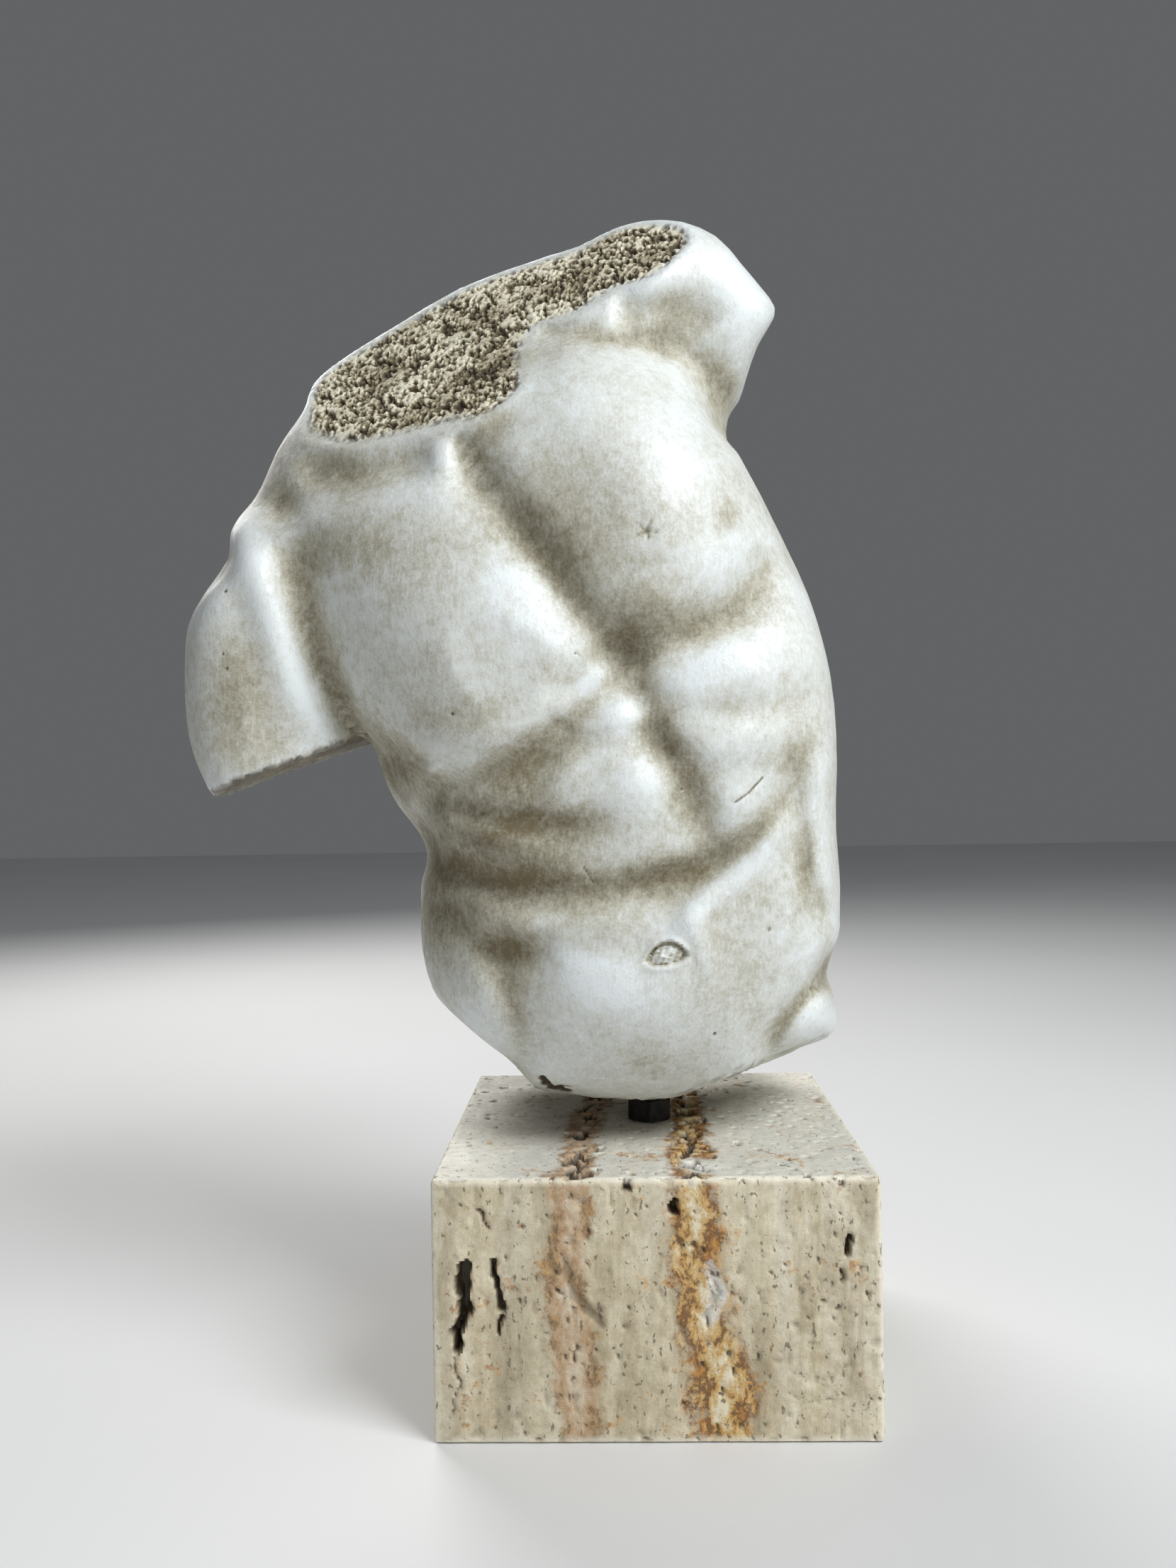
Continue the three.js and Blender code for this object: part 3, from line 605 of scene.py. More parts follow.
# %% Press the marks in
def press_navel(q):
    """An eye-shaped hollow: two circles that overlap, with a knot of small lumps inside."""
    x, z = (q - NAVEL).T
    z = z + 0.03 * x * x - 0.12 * x
    rim = np.maximum(np.hypot(x, z - 4.0), np.hypot(x, z + 4.0)) - 7.9
    wrinkles = np.sin(2.1 * x + 1.3 * z) * np.sin(2.6 * z - 0.9 * x + 1.0)
    bowl = -0.6 * ease(0.5 - rim / 1.2) * (1 - 0.7 * wrinkles)
    groove = -1.1 * bell((rim + 0.6) / 0.5) * (0.75 + 0.4 * np.tanh(z))
    knot = 0.7 * np.exp(-(((x + 1.6) / 1.5) ** 2) - ((z + 0.5) / 1.1) ** 2)
    knot += 0.6 * np.exp(-(((x - 1.4) / 1.5) ** 2) - ((z - 0.7) / 1.0) ** 2)
    lid = 0.6 * bell((rim - 0.7) / 0.8) * ease(z / 2.5)
    sill = 0.4 * bell(rim - 0.8) * ease(-z / 2.5)
    return bowl + groove + knot + lid + sill


def press_star(q):
    x, z = (q - STAR_MARK).T
    r = np.hypot(x, z)
    angle = np.arctan2(z, x)
    rays = 0.9 * bell((r - 2.4) / 1.9) * np.maximum(np.cos(5 * angle + 0.6), 0) ** 2
    rim = 0.8 * np.exp(-((z + 4.6) / 1.5) ** 2 - (x / 4.5) ** 2)
    return rim - rays - 1.5 * bell(r / 1.1)


def press_marks(p):
    q, _ = drawn(p)
    h = press_navel(q) * (np.linalg.norm(q - NAVEL, axis=1) < 12)
    h += press_star(q) * (np.linalg.norm(q - STAR_MARK, axis=1) < 9)
    h += swelling(q, 1.1, NIPPLE_BUMP, (2.6, 2.0), 0)
    return h * (p[:, 1] < 0)


def press_scratches(p):
    q, _ = drawn(p)
    h = np.zeros(len(p))
    for line in SCRATCHES:
        h -= 0.4 * bell(gap_to(line, q) / 0.45)
    for line in CHIPS:
        ragged = gap_to(line, q) + grain(p, 2.6, 51.0)
        h -= 1.6 * ease((1.3 - ragged) / 1.1)
    for hole in PIN_HOLES:
        h -= 0.6 * bell(np.linalg.norm(q - hole, axis=1) / 0.5)
    return h * (p[:, 1] < 0)


points = points_of(torso)
heights = press_marks(points)
scratch_heights = press_scratches(points)
points += normals_of(torso) * (heights + scratch_heights)[:, None]
set_points(torso, points)
print("deepest mark:", round(float(-heights.min()), 2), "mm")

# %% Rough grain on the breaks
MARGIN = 0.02  # the torso stays this far inside the box of its solid
points = points_of(torso)
smooth_points = points.copy()
smooth_normals = normals_of(torso)
inside_rim = ease((-unbroken(points) - 0.7) / 1.8)
neck = ease(1.4 - np.abs(NECK_BREAK(points)) / 0.8) * (points[:, 2] > ABOVE_NECK) * inside_rim
arm = ease(1.4 - np.abs(ARM_BREAK(points)) / 1.0) * (points[:, 0] < ARMPIT_X)
thigh = ease(1.4 - np.abs(THIGH_BREAK(points)) / 1.0) * (points[:, 2] < 110)
foot = ease(1.4 - np.abs(FOOT(points)) / 1.0)
rough = np.max([neck, arm * 0.7, thigh * 0.2, foot * 0.7], axis=0) * is_skin(points)
broken = rough > 0.02
depth = np.zeros(len(points))
pit = np.zeros(len(points))
stretched = points[broken] * (1, 0.8, 0.62)
worms = grain(stretched, 1.25, 3.0) + 0.6 * grain(stretched, 0.65, 9.0)
worms += 0.7 * grain(points[broken], 4.2, 15.0)
wide = grain(points[broken], 13.0, 5.0)
pit[broken] = ease((0.35 - worms) / 1.0)
depth[broken] = rough[broken] * (1.5 * pit[broken] - 0.25 + 0.7 * wide)
# The break of the arm faces down and is coloured as a pit all over: painted shade under the arm.
pit = np.maximum(pit, 0.75 * ease(2 * arm) * (rough > 0.05))
points -= smooth_normals * depth[:, None]
torso_low, torso_high = solid_box("marble_torso")
points = np.clip(points, torso_low + MARGIN, torso_high - MARGIN)
set_points(torso, points)
print("rough points:", int(broken.sum()))

# %% Where patina and painted shade darken the marble, and where wiping and painted highlights lighten it
# Areas above zero hold patina, and painted shade where the skin turns from the light. Areas below zero are
# wiped patina and painted highlights on lit facets.
PATINA_AND_PAINTED_LIGHT_AREAS = [
    (0.8, (-28, 255), (12, 29), 36),  # raised side of the chest, from the furrow on
    (1.1, (0, 229), (14, 10), 0),
    (0.3, (-8, 257), (20, 29), 0),
    (0.15, (10, 324), (13, 9), 20),  # hollow of the raised shoulder
    (0.5, (-10, 315), (17, 3), -5),
    (0.8, (27, 300), (5.5, 11), 20),
    (0.9, (-52, 276), (3, 5), 0),  # pit of the neck and the tendon
    (0.6, (-48, 288), (5.5, 9), -30),
    (0.35, (-97, 274), (12, 6), 0),  # hollows of the lowered shoulder
    (0.35, (-112, 265), (6, 6), 0),
    (0.4, (-105, 280), (18, 14), 0),
    (0.5, (-95, 250), (13, 9), 0),  # stain near the armpit
    (0.5, (-97, 214), (4, 24), 20),
    (0.4, (-58, 249), (22, 15), 0),  # lowered side of the chest
    (0.5, (-26, 214), (14, 7), 30),
    (0.45, (-61, 196), (29, 10), 0),
    (0.9, (8, 186), (7, 30), 24),  # beside the middle line of the belly
    (0.6, (28, 258), (4, 5.5), 0),
    (0.7, (47, 182), (6, 7), 0),
    (1.2, (-77, 180), (9, 9), 0),  # folds of the bent side
    (0.95, (-40, 165), (24, 3.8), -6),
    (0.4, (-38, 176), (20, 8), 0),
    (0.75, (-63, 158), (6, 14), 10),
    (1.0, (-60, 147.5), (6, 5), 0),
    (1.3, (-35, 145), (32, 5.5), -4),  # the long crease
    (1.0, (6, 148), (17, 4.5), 12),
    (0.8, (34, 160), (10, 6), 40),
    (0.6, (-50, 154), (16, 9), 0),
    (0.5, (-48, 160), (27, 25), 0),
    (0.3, (-22, 155), (22, 14), 0),
    (0.9, (-47, 158.5), (11, 4), 0),
    (0.6, (-5, 224), (6, 5), 0),
    (0.4, (-52, 115), (9, 10), 0),
    (0.8, (-48, 134), (16, 8), -15),
    (1.1, (-43, 124.5), (9, 5), 0),  # hip line and groin
    (0.6, (-56, 131), (9, 4), -45),
    (0.55, (-42, 105), (5, 16), 8),
    (0.7, (-66, 128), (8, 18), 0),
    (0.3, (-22, 132), (13, 7), 0),
    (0.8, (50, 149), (3.5, 15), -8),  # long flank
    (0.4, (56, 124), (3, 18), 0),
    (0.9, (48, 106), (2.4, 13), -42),
    (0.4, (-32, 183), (16, 7), 30),
    (0.25, (25, 113), (13, 11), 0),
    (0.7, (-130, 202), (12, 26), 0),  # outer side and low end of the arm
    (0.55, (-117, 186), (22, 9), 20),
    (0.45, (-100, 184), (26, 5), 20),
    (-0.85, (-37, 236), (15, 15), 0),  # wiped, with painted highlight: the chest
    (-0.3, (8, 283), (12, 24), 10),
    (-0.5, (31, 334), (11, 11), 0),  # the raised shoulder
    (-0.5, (22, 212), (13, 8), 20),  # the ribs
    (-0.9, (-17, 207), (7, 3.2), 45),  # the straight belly muscle
    (-0.9, (-3, 198), (7, 6), 0),
    (-0.3, (1, 176), (8, 8), 0),
    (-0.5, (-114, 222), (6, 22), 20),  # the arm
    (-0.6, (-13, 114), (13, 9), 0),  # the belly, the band over it, the hip
    (-1.1, (26, 143.5), (15, 3.2), 40),
    (-0.7, (52, 100), (6, 6), 0),
]
print(len(PATINA_AND_PAINTED_LIGHT_AREAS), "areas of patina")


# %% How hollow each place is
# Dirt gathers where the skin is hollow. The mean distance a few millimetres
# to the sides tells it: below zero in a furrow, above zero on a ridge.
def hollowness(p, normals, reach):
    helper = np.where(np.abs(normals[:, 2:3]) < 0.9, [[0.0, 0.0, 1.0]], [[1.0, 0.0, 0.0]])
    first = np.cross(normals, helper)
    first /= np.linalg.norm(first, axis=1)[:, None]
    second = np.cross(normals, first)
    total = np.zeros(len(p))
    for step in (first, -first, second, -second):
        total += torso_distance(p + reach * step)
    return -total / (4 * reach)


NARROW, BROAD = 5.0, 14.0  # how far to the sides, in mm
narrow_hollow = hollowness(smooth_points, smooth_normals, NARROW)
broad_hollow = hollowness(smooth_points, smooth_normals, BROAD)
flat_q, _ = drawn(smooth_points)
on_front = ease((14 - smooth_points[:, 1]) / 20)
# These areas darken with patina and painted shade, and lighten with painted highlights.
area_tone_and_painted_light = on_front * sum(swelling(flat_q, *area) for area in PATINA_AND_PAINTED_LIGHT_AREAS)
marks = ease(-heights / 1.5)
patina = 0.36 + 0.42 * narrow_hollow + 0.85 * broad_hollow + 0.53 * area_tone_and_painted_light + 0.3 * marks
patina = np.clip(patina, 0, 0.64 + 0.36 * ease(patina - 0.5))
# Scratches and pin holes count as pits, so the finish darkens them the same way.
small = ease(-scratch_heights / 0.5)
# The kept value holds the patina of the hollows and marks, and the painted shade and painted highlights of
# the areas.
keep_values(torso, patina=patina, rough=np.maximum(rough, small), pit=np.maximum(pit, small))
print("patina from", round(float(patina.min()), 2), "to", round(float(patina.max()), 2))

make_active(torso)
bpy.ops.object.shade_smooth_by_angle(angle=math.radians(48))
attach(torso, "root")
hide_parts("marble_torso")

# %% [markdown]
# ## The travertine block
# Travertine is full of pores, and they lie along its layers, which stand
# upright in this cut. The block starts as a cube. Its edges are subdivided one
# direction at a time, so that all faces become small squares, and the points of
# those are pressed in where the stone has a pore.

# %% Block
SQUARE = 0.74  # side of one face, in mm
block_low, block_high = solid_box("travertine_block")
side = block_high - block_low
clear_selection()
bpy.ops.mesh.primitive_cube_add(size=1, location=[float(v) * MM for v in (block_low + block_high) / 2])
block = bpy.context.object
block.name = block.data.name = "travertine_block_dressed"
block.scale = [float(v) * MM for v in side]
bpy.ops.object.transform_apply()


def select_edges_along(piece, axis):
    edges = piece.data.edges
    ends = np.empty(len(edges) * 2, dtype=np.int32)
    edges.foreach_get("vertices", ends)
    along = points_of(piece)[ends].reshape(-1, 2, 3)[:, :, axis]
    select_only(piece, "EDGE", np.abs(along[:, 0] - along[:, 1]) > 1)


# One subdivide makes at most 100 cuts, so each edge is halved first.
for axis in range(3):
    for cuts in (1, round(side[axis] / SQUARE / 2) - 1):
        select_edges_along(block, axis)
        subdivide(cuts)
select_faces(block, lambda middles: middles[:, 2] < 0.01)
bpy.ops.mesh.dissolve_faces()
mode("OBJECT")
print("block faces:", len(block.data.polygons), "size", side.round(1))

# %% Soft edges, and where each point of the block is
EDGE = 1.5  # radius of the worn edges, in mm
points = points_of(block)
gaps = np.concatenate([points - block_low, block_high - points], axis=1)
ways = np.vstack([-np.eye(3), np.eye(3)])[gaps.argmin(axis=1)]
core = np.clip(points, block_low + EDGE, block_high - EDGE)
away = points - core
length = np.maximum(np.linalg.norm(away, axis=1), 1e-9)
points = core + away / length[:, None] * np.minimum(np.abs(away).max(axis=1), EDGE)[:, None]
points[gaps[:, 2] < 0.01, 2] = 0
edge_gap = np.sort(np.minimum(points - block_low, block_high - points), axis=1)[:, 1]

slow = np.stack([grain(points, 11.0, seed) for seed in (1.0, 2.0, 3.0)], axis=1)
quick = np.stack([grain(points, 3.0, seed) for seed in (4.0, 5.0, 6.0)], axis=1)
warped = points + 2.4 * slow + 0.9 * quick
front, top = ways[:, 1] < -0.5, ways[:, 2] > 0.5
print("points on the front:", int(front.sum()))


# %% Veins
def vein(middle_line, half_width):
    """0 outside to 1 in the middle of a sheet that stands in the stone, front to back."""
    z, x = zip(*middle_line)
    middle = np.interp(warped[:, 2], z, x) + 0.05 * (points[:, 1] + 60)
    return np.clip(1 - np.abs(warped[:, 0] - middle) / np.interp(warped[:, 2], z, half_width), 0, 1)


pink = vein([(0, -21), (25, -22), (45, -24), (70, -22)], [9, 9.5, 9, 8])
ochre = vein([(0, 19), (18, 17), (42, 11), (70, 9)], [13, 12, 10, 9])
crystal = ease(1.5 - np.hypot((warped[:, 0] - 15.0) / 3.0, (warped[:, 2] - 39) / 8.5)) * front
crystal = np.maximum(crystal, top * ease(1.4 - np.hypot((warped[:, 0] - 13) / 8, (warped[:, 1] + 50) / 8)))
keep_values(block, pink=pink, ochre=ochre, crystal=crystal)
print("ochre vein covers", round(float((ochre > 0).mean()), 2), "of the points")

# %% Voids and pores
UNDER_NUT = 9  # the top stays flat this far around the rod
hole = np.zeros(len(points))
for line, wide, deep in (
    ([(-51.0, 47.0), (-52.0, 41), (-51.0, 36)], 2.1, 7.0),
    ([(-51.4, 36), (-53.4, 29), (-53.0, 24)], 1.5, 7.0),
    ([(-43.2, 48), (-42.4, 41), (-41.4, 36)], 1.2, 3.5),
    ([(-41.2, 33.5), (-42.6, 29)], 0.9, 2.5),
    ([(-46.9, 62.5), (-44.8, 56.5)], 0.8, 1.5),
    ([(-24.5, 48), (-22, 40), (-15.5, 31.5)], 1.7, 0.7),
    ([(4.8, 62.5), (5.2, 61.5)], 2.0, 5.0),
    ([(14, 45), (16, 40), (12.5, 33)], 1.1, 0.7),
    ([(50.6, 53.5), (50.4, 49.8)], 1.2, 3.5),
    ([(48.4, 45), (48.8, 42)], 0.9, 2.0),
    ([(-7.6, 70), (-7.4, 66.8)], 1.0, 2.4),
    ([(-54, 22), (-53.2, 15), (-56, 6)], 0.7, 1.2),
    ([(35, 19), (41, 15.5), (48, 16.5), (50, 20)], 0.6, 0.9),
    ([(34, 13), (40, 10.5), (46, 11)], 0.6, 0.9),
):
    gap = gap_to(line, points[:, [0, 2]] + 1.3 * quick[:, :2] + 0.5 * slow[:, :2])
    hole = np.maximum(hole, deep * front * ease((wide - gap) / 0.9))
layered = points * (1, 1, 0.55)
many = 0.55 * np.maximum(pink, ochre) + 0.25 * ease((points[:, 0] - 20) / 30) + 0.2 * slow[:, 0]
pores = ease((grain(layered, 1.25, 31.0) + 0.45 * many - 0.66 + 0.1 * slow[:, 1]) / 0.16)
crumbs = ease((grain(layered, 2.6, 41.0) + 0.3 * many - 0.42) / 0.2)
hole = np.maximum(hole, pores)
hole = np.maximum(hole, 1.5 * crumbs * (0.35 + 0.65 * top))
hole = np.maximum(hole, top * 2.6 * ease((quick[:, 1] + 0.9 * np.maximum(pink, ochre) - 0.72) / 0.2))
chips = ease((grain(points, 4.0, 21.0) - 0.22) / 0.25) * ease(1 - edge_gap / 1.8)
for x in (-32, -3.5, 38.5):
    chips = np.maximum(chips, front * ease(1.6 - np.hypot(points[:, 0] - x, points[:, 2]) / 1.3))
hole = np.maximum(hole, 0.8 * chips)
hole[points[:, 2] < 0.02] = 0
hole[(points[:, 2] > 66) & (np.hypot(points[:, 0], points[:, 1]) < UNDER_NUT)] *= 0.1
points -= ways * (hole + 0.12 * ease(0.5 + quick[:, 2]))[:, None]
set_points(block, points)
# The pale edges are partly worn stone and partly a painted highlight along the lit edges; top tells the
# finish which face to paint lighter.
worn = ease(1.3 - edge_gap / 1.7) * (1 - chips)
keep_values(block, pore=ease(hole / 1.5), worn=worn, top=ease(ways[:, 2]))
make_active(block)
bpy.ops.object.shade_smooth_by_angle(angle=math.radians(60))
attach(block, "root")
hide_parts("travertine_block")
print("pressed in more than 0.5 mm:", int((hole > 0.5).sum()), "points")

# %% [markdown]
# ## The threaded rod and its nut
# The rod is turned steel with a thread. A Screw modifier winds one tooth of the
# thread around the axis, which is how a real thread runs: as one long spiral.
# The nut of the solid already has its six flats and chamfers, so it stays.

# %% Threaded rod
rod_low, rod_high = solid_box("steel_rod")
PITCH = 1.25
ROD_RADIUS = 4.0
THREAD_DEPTH = 0.65
turns = int((rod_high[2] - rod_low[2]) / PITCH) - 1
clear_selection()
bpy.ops.mesh.primitive_cylinder_add(
    vertices=32, radius=(ROD_RADIUS - THREAD_DEPTH) * MM, depth=float(rod_high[2] - rod_low[2]) * MM,
    location=(0, 0, float(rod_high[2] + rod_low[2]) / 2 * MM))
rod_core = bpy.context.object
bpy.ops.object.transform_apply()
bpy.ops.mesh.primitive_plane_add(size=1)
rod = bpy.context.object
rod.name = rod.data.name = "threaded_rod"
mode("EDIT")
bpy.ops.mesh.delete(type="ONLY_FACE")
mode("OBJECT")
inner, outer = ROD_RADIUS - THREAD_DEPTH - 0.1, ROD_RADIUS - 0.02
foot_z = rod_low[2] + 0.3
# The plane's corners are joined 0-1, 0-2, 1-3 and 2-3, so they go up the tooth as 0, 1, 3, 2.
profile = [(inner, foot_z), (outer, foot_z + 0.45), (inner, foot_z + PITCH - 0.12), (outer, foot_z + 0.62)]
for vertex, (radius, z) in zip(rod.data.vertices, profile):
    vertex.co = (radius * MM, 0, z * MM)
screw = rod.modifiers.new("thread", "SCREW")
screw.steps = screw.render_steps = 24
screw.iterations = turns
screw.screw_offset = PITCH * MM
screw.use_merge_vertices = True
make_active(rod)
bpy.ops.object.modifier_apply(modifier=screw.name)
merge_doubles(rod)
# Both ends of the tooth are open: their edges are selected and filled.
select_only(rod, "EDGE", np.zeros(len(rod.data.edges), bool))
bpy.ops.mesh.select_non_manifold()
bpy.ops.mesh.edge_face_add()
mode("OBJECT")
rod_core.select_set(True)
bpy.ops.object.join()
mode("EDIT")
bpy.ops.mesh.select_all(action="SELECT")
bpy.ops.mesh.normals_make_consistent(inside=False)
mode("OBJECT")
bpy.ops.object.shade_smooth_by_angle(angle=math.radians(35))
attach(rod, "root")
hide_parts("steel_rod")
print("rod:", len(rod.data.polygons), "faces,", turns, "turns")

# %% [markdown]
# ## Materials
# Each finish is a small tree of nodes. Patterns read Object coordinates, so
# they stay on the stone, and the values kept on the points say where patina,
# dirt, painted shade, painted highlights and rough grain are.

# %% Tools for node trees
# All of these add their nodes to `tree`, the tree of the finish being made.
def new_finish(name):
    material = bpy.data.materials.new(name)
    material.use_nodes = True
    return material, material.node_tree, material.node_tree.nodes["Principled BSDF"]


def tune(made, **values):
    """Set the node's own fields, or else its sockets of those names."""
    for key, value in values.items():
        if hasattr(made, key):
            setattr(made, key, value)
        else:
            made.inputs[key.replace("_", " ").title()].default_value = value


def node(kind, **values):
    made = tree.nodes.new(kind)
    tune(made, **values)
    return made


def feed(socket, value):
    """Link an output to the socket, or set the socket's own value."""
    if hasattr(value, "is_output"):
        tree.links.new(value, socket)
    else:
        socket.default_value = (*value, 1) if isinstance(value, tuple) else value


def place(scale=(1, 1, 1)):
    """Object coordinates; a scale below 1 stretches a pattern along that axis."""
    where = tree.nodes.new("ShaderNodeTexCoord")
    mapping = node("ShaderNodeMapping", scale=scale)
    feed(mapping.inputs["Vector"], where.outputs["Object"])
    return mapping.outputs["Vector"]


def cloud(vector, scale, detail=3.0, roughness=0.5, warp=0.0):
    made = node("ShaderNodeTexNoise", scale=scale, detail=detail, roughness=roughness, distortion=warp)
    feed(made.inputs["Vector"], vector)
    return made.outputs["Fac"]


def ramp(value, stops):
    made = tree.nodes.new("ShaderNodeValToRGB")
    band = made.color_ramp
    while len(band.elements) < len(stops):
        band.elements.new(0.5)
    for element, (position, colour) in zip(band.elements, stops):
        element.position = position
        element.color = (*colour, 1)
    feed(made.inputs["Fac"], value)
    return made.outputs["Color"]


def grey(value):
    return (value, value, value)


def blend(factor, first, second, kind="MIX"):
    made = node("ShaderNodeMix", data_type="RGBA", blend_type=kind)
    for number, value in ((0, factor), (6, first), (7, second)):
        feed(made.inputs[number], value)
    return made.outputs[2]


def calc(kind, first, second):
    made = node("ShaderNodeMath", operation=kind)
    feed(made.inputs[0], first)
    feed(made.inputs[1], second)
    return made.outputs[0]


def add(total, *others):
    for other in others:
        total = calc("ADD", total, other)
    return total


def times(value, share):
    return calc("MULTIPLY", value, share)


def swing(pattern, share):
    """Noise moved to lie around zero, then made stronger or weaker."""
    return times(calc("SUBTRACT", pattern, 0.5), share)


def kept(name):
    """A value that was kept on the points."""
    return node("ShaderNodeAttribute", attribute_name=name).outputs["Fac"]


def bump(shader, height, strength, distance):
    made = node("ShaderNodeBump", strength=strength, distance=distance)
    feed(made.inputs["Height"], height)
    feed(shader.inputs["Normal"], made.outputs["Normal"])


def wear(piece, material):
    piece.data.materials.clear()
    piece.data.materials.append(material)


# %% [markdown]
# ## Cast marble
# The cast is cream-grey with a brown-grey patina rubbed into the hollows.
# Painted shade darkens places turned from the light. Where patina was wiped off
# high places, and as painted highlights on lit facets, the stone turns blue-white.
# Very fine upright streaks come from the brush. The breaks show pale grains
# with painted shade in the pits between them.

# %% Marble finish
marble, tree, shader = new_finish("cast_marble_with_patina")
flat_place = place()
patches = cloud(flat_place, 45, 5, 0.6)
mottle = cloud(flat_place, 330, 4, 0.65)
streaks = cloud(place(scale=(1, 1, 0.3)), 1000, 3, 0.65)
specks = cloud(flat_place, 1300, 2, 0.6)
# The kept value brings patina, painted shade and painted highlights, and the noise adds random tone. The
# blue-white end of the ramp is the colour of the painted highlights.
dirt_and_painted_light = add(kept("patina"), swing(patches, 0.8), swing(mottle, 0.6), swing(streaks, 0.4), swing(specks, 0.4))
stone = ramp(dirt_and_painted_light, [(0.0, (0.78, 0.82, 0.82)), (0.30, (0.63, 0.64, 0.59)), (0.55, (0.45, 0.43, 0.345)),
                    (0.80, (0.27, 0.245, 0.175)), (1.0, (0.17, 0.135, 0.075))])
grit = add(times(patches, 2.2), swing(specks, 1.3))
# Pits are coloured dark brown to near black here and in the blend below: painted shade in the pits of the
# breaks.
break_stone = ramp(add(kept("pit"), calc("SUBTRACT", grit, 1.05)),
                   [(0.0, (0.80, 0.76, 0.61)), (0.26, (0.47, 0.42, 0.29)), (0.56, (0.18, 0.145, 0.085)),
                    (1.0, (0.06, 0.045, 0.025))])
stone = blend(kept("rough"), stone, break_stone)
stone = blend(times(kept("pit"), 0.35), stone, (0.06, 0.045, 0.028))
feed(shader.inputs["Base Color"], stone)
gloss = ramp(calc("MAXIMUM", kept("rough"), dirt_and_painted_light), [(0.0, grey(0.36)), (1.0, grey(0.85))])
feed(shader.inputs["Roughness"], gloss)
tune(shader, subsurface_weight=0.05, subsurface_radius=(1.0, 0.8, 0.5), subsurface_scale=0.0015)
bump(shader, add(streaks, specks, times(mottle, 2.0)), 0.22, 0.0004)
wear(torso, marble)
print("marble finish:", len(tree.nodes), "nodes")

# %% [markdown]
# ## Travertine
# The ground is cream to grey beige in thin upright layers. One vein is pink
# brown, the other a strong orange ochre with brown crumbs and white crystal.
# The veins were kept on the points, and noise breaks up their borders. The
# finest pores are too small for the mesh: they are dark specks with a bump,
# painted shade in holes too small to model. Deeper pores and chips get painted
# shade too. The top face is painted lighter as a painted highlight, and the
# edges paler, partly worn stone and partly painted highlight.

# %% Travertine finish
travertine, tree, shader = new_finish("honed_travertine")
flat_place = place()
layers = cloud(place(scale=(1, 1, 0.22)), 130, 5, 0.65, 0.4)
blotches = cloud(flat_place, 60, 5, 0.65)
crumble = cloud(flat_place, 260, 5, 0.7)
fine = cloud(place(scale=(1, 1, 0.6)), 620, 3, 0.6)
dust = cloud(flat_place, 1500, 2, 0.6)


def border(mask, low, high):
    """A mask whose edge is broken up by noise."""
    broken_up = add(mask, swing(crumble, 1.5), swing(blotches, 1.2))
    return ramp(broken_up, [(low, grey(0)), (high, grey(1))])


ground = ramp(layers, [(0.32, (0.48, 0.42, 0.30)), (0.50, (0.68, 0.62, 0.475)),
                       (0.68, (0.84, 0.80, 0.66))])
bands = ramp(cloud(place(scale=(1, 0.4, 0.05)), 45, 3, 0.55, 0.6),
             [(0.35, (0.80, 0.78, 0.74)), (0.5, (1.0, 0.97, 0.90)), (0.65, grey(1))])
ground = blend(0.9, ground, bands, "MULTIPLY")
spots = ramp(crumble, [(0.35, (0.62, 0.56, 0.46)), (0.6, grey(1))])
ground = blend(0.6, ground, spots, "MULTIPLY")
# The top face is painted lighter and bluer grey: a painted highlight where the light falls from above.
ground = blend(times(kept("top"), 0.5), ground, (0.84, 0.86, 0.84))
swirl = cloud(place(scale=(1, 1, 0.7)), 190, 8, 0.76, 0.3)


def vein_colours(mask, stops):
    """Colours in lines along the vein's border, broken up by the swirl."""
    return ramp(add(times(mask, 0.22), swirl), stops)


pink_line, ochre_line = kept("pink"), kept("ochre")
ground = blend(times(border(pink_line, 0.20, 0.50), 0.85), ground,
               vein_colours(pink_line, [(0.40, (0.56, 0.36, 0.16)), (0.48, (0.46, 0.245, 0.07)),
                                        (0.55, (0.16, 0.085, 0.033)), (0.61, (0.44, 0.265, 0.125)),
                                        (0.70, (0.51, 0.36, 0.225)), (0.80, (0.64, 0.54, 0.40))]))
ground = blend(times(border(ochre_line, 0.15, 0.50), 0.95), ground,
               vein_colours(ochre_line, [(0.40, (0.62, 0.43, 0.19)), (0.49, (0.54, 0.25, 0.04)),
                                         (0.56, (0.24, 0.10, 0.02)), (0.60, (0.13, 0.06, 0.02)),
                                         (0.65, (0.56, 0.31, 0.08)), (0.72, (0.64, 0.48, 0.24)),
                                         (0.80, (0.78, 0.71, 0.54))]))
ground = blend(border(kept("crystal"), 0.35, 0.95), ground, (0.78, 0.77, 0.70))
# Edges painted pale cream: worn stone and a painted highlight.
ground = blend(times(kept("worn"), 0.7), ground, (0.90, 0.85, 0.70))
# Dark specks: painted shade in pores too small for the mesh.
specks = ramp(fine, [(0.33, grey(0.8)), (0.38, grey(0))])
ground = blend(specks, ground, (0.16, 0.12, 0.075))
# Pressed-in pores, voids and chips are painted near black: painted shade inside them.
inside_pores = ramp(kept("pore"), [(0.12, grey(0)), (0.9, grey(0.93))])
ground = blend(inside_pores, ground, (0.05, 0.035, 0.02))
feed(shader.inputs["Base Color"], ground)
feed(shader.inputs["Roughness"], ramp(layers, [(0.3, grey(0.62)), (0.7, grey(0.42))]))
bump(shader, add(times(specks, -1.2), crumble, times(dust, 0.5)), 0.4, 0.0006)
wear(block, travertine)
print("travertine finish:", len(tree.nodes), "nodes")

# %% [markdown]
# ## Blackened steel
# The rod and the nut are dark steel, a little worn.

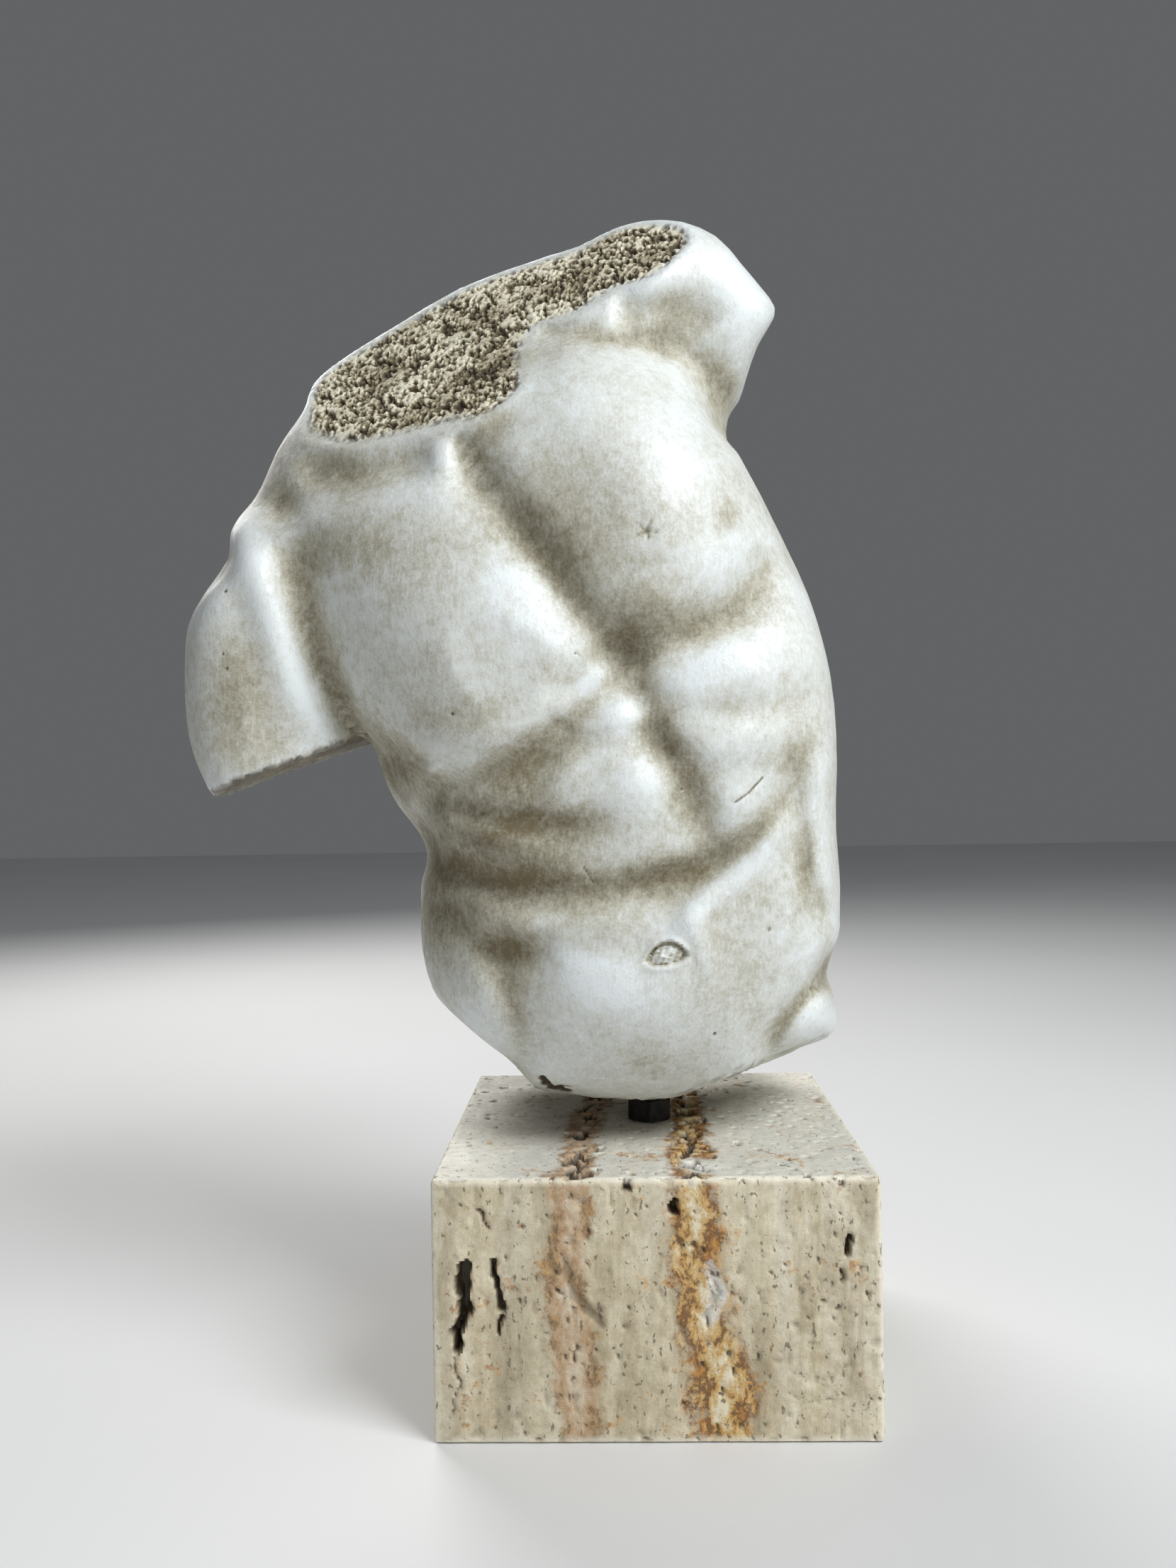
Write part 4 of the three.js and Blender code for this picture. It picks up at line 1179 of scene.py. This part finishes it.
# %% Steel finish
steel, tree, shader = new_finish("blackened_steel")
wear_cloud = cloud(place(), 420, 4, 0.6)
feed(shader.inputs["Base Color"],
     ramp(wear_cloud, [(0.4, (0.012, 0.012, 0.013)), (0.75, (0.05, 0.047, 0.043))]))
feed(shader.inputs["Roughness"], ramp(wear_cloud, [(0.3, grey(0.32)), (0.7, grey(0.6))]))
tune(shader, metallic=0.7)
bump(shader, wear_cloud, 0.12, 0.0002)
wear(rod, steel)
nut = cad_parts["steel_nut"]
wear(nut, steel)

# %% [markdown]
# ## Floor, light and camera
# The floor is plain and pale. A large soft lamp stands high on the right, as
# in the photo, with a weak one in front to open the shadows, and one behind, so
# that the back can be seen too. The camera was fitted to the block's corners in
# the photo: it stands close, about as high as the middle of the torso.

# %% Floor
clear_selection()
bpy.ops.mesh.primitive_plane_add(size=6, location=(0, 0, -0.0005))
floor = bpy.context.object
floor.name = "floor"
bpy.ops.object.transform_apply()
pale, tree, shader = new_finish("pale_floor")
floor_cloud = cloud(place(), 3, 3, 0.5)
feed(shader.inputs["Base Color"], ramp(floor_cloud, [(0.3, grey(0.70)), (0.7, grey(0.74))]))
tune(shader, roughness=0.8)
wear(floor, pale)


# %% Light
def lamp(name, place, size, power, colour, target=(-0.02, 0, 0.2)):
    bpy.ops.object.light_add(type="AREA", location=place)
    made = bpy.context.object
    made.name = name
    made.data.size = size
    made.data.energy = power
    made.data.color = colour
    made.rotation_mode = "QUATERNION"
    made.rotation_quaternion = (Vector(target) - Vector(place)).to_track_quat("-Z", "Y")


lamp("key_lamp", (0.64, -0.58, 0.98), 0.6, 14.0, (0.965, 0.985, 1.0))
lamp("front_lamp", (0.25, -1.1, 0.35), 0.6, 1.6, (0.98, 0.99, 1.0))
lamp("rear_lamp", (-0.4, 0.75, 0.8), 0.6, 7.5, (1.0, 0.99, 0.97))
world = bpy.data.worlds.new("studio")
bpy.context.scene.world = world
world.use_nodes = True
sky = world.node_tree.nodes["Background"].inputs
sky["Color"].default_value = (0.82, 0.84, 0.86, 1)
sky["Strength"].default_value = 0.15
bpy.context.scene.view_settings.view_transform = "Standard"

# %% Camera
bpy.ops.object.camera_add(location=(-0.00804, -0.38706, 0.17423))
camera = bpy.context.object
camera.data.lens = 28.27
camera.data.sensor_width = 36
camera.data.clip_start = 0.01
turn = (Matrix.Rotation(math.radians(1.402), 3, "Z") @ Matrix.Rotation(math.radians(90.112), 3, "X")
        @ Matrix.Rotation(math.radians(-0.928), 3, "Z"))
camera.rotation_mode = "QUATERNION"
camera.rotation_quaternion = turn.to_quaternion()
bpy.context.scene.camera = camera
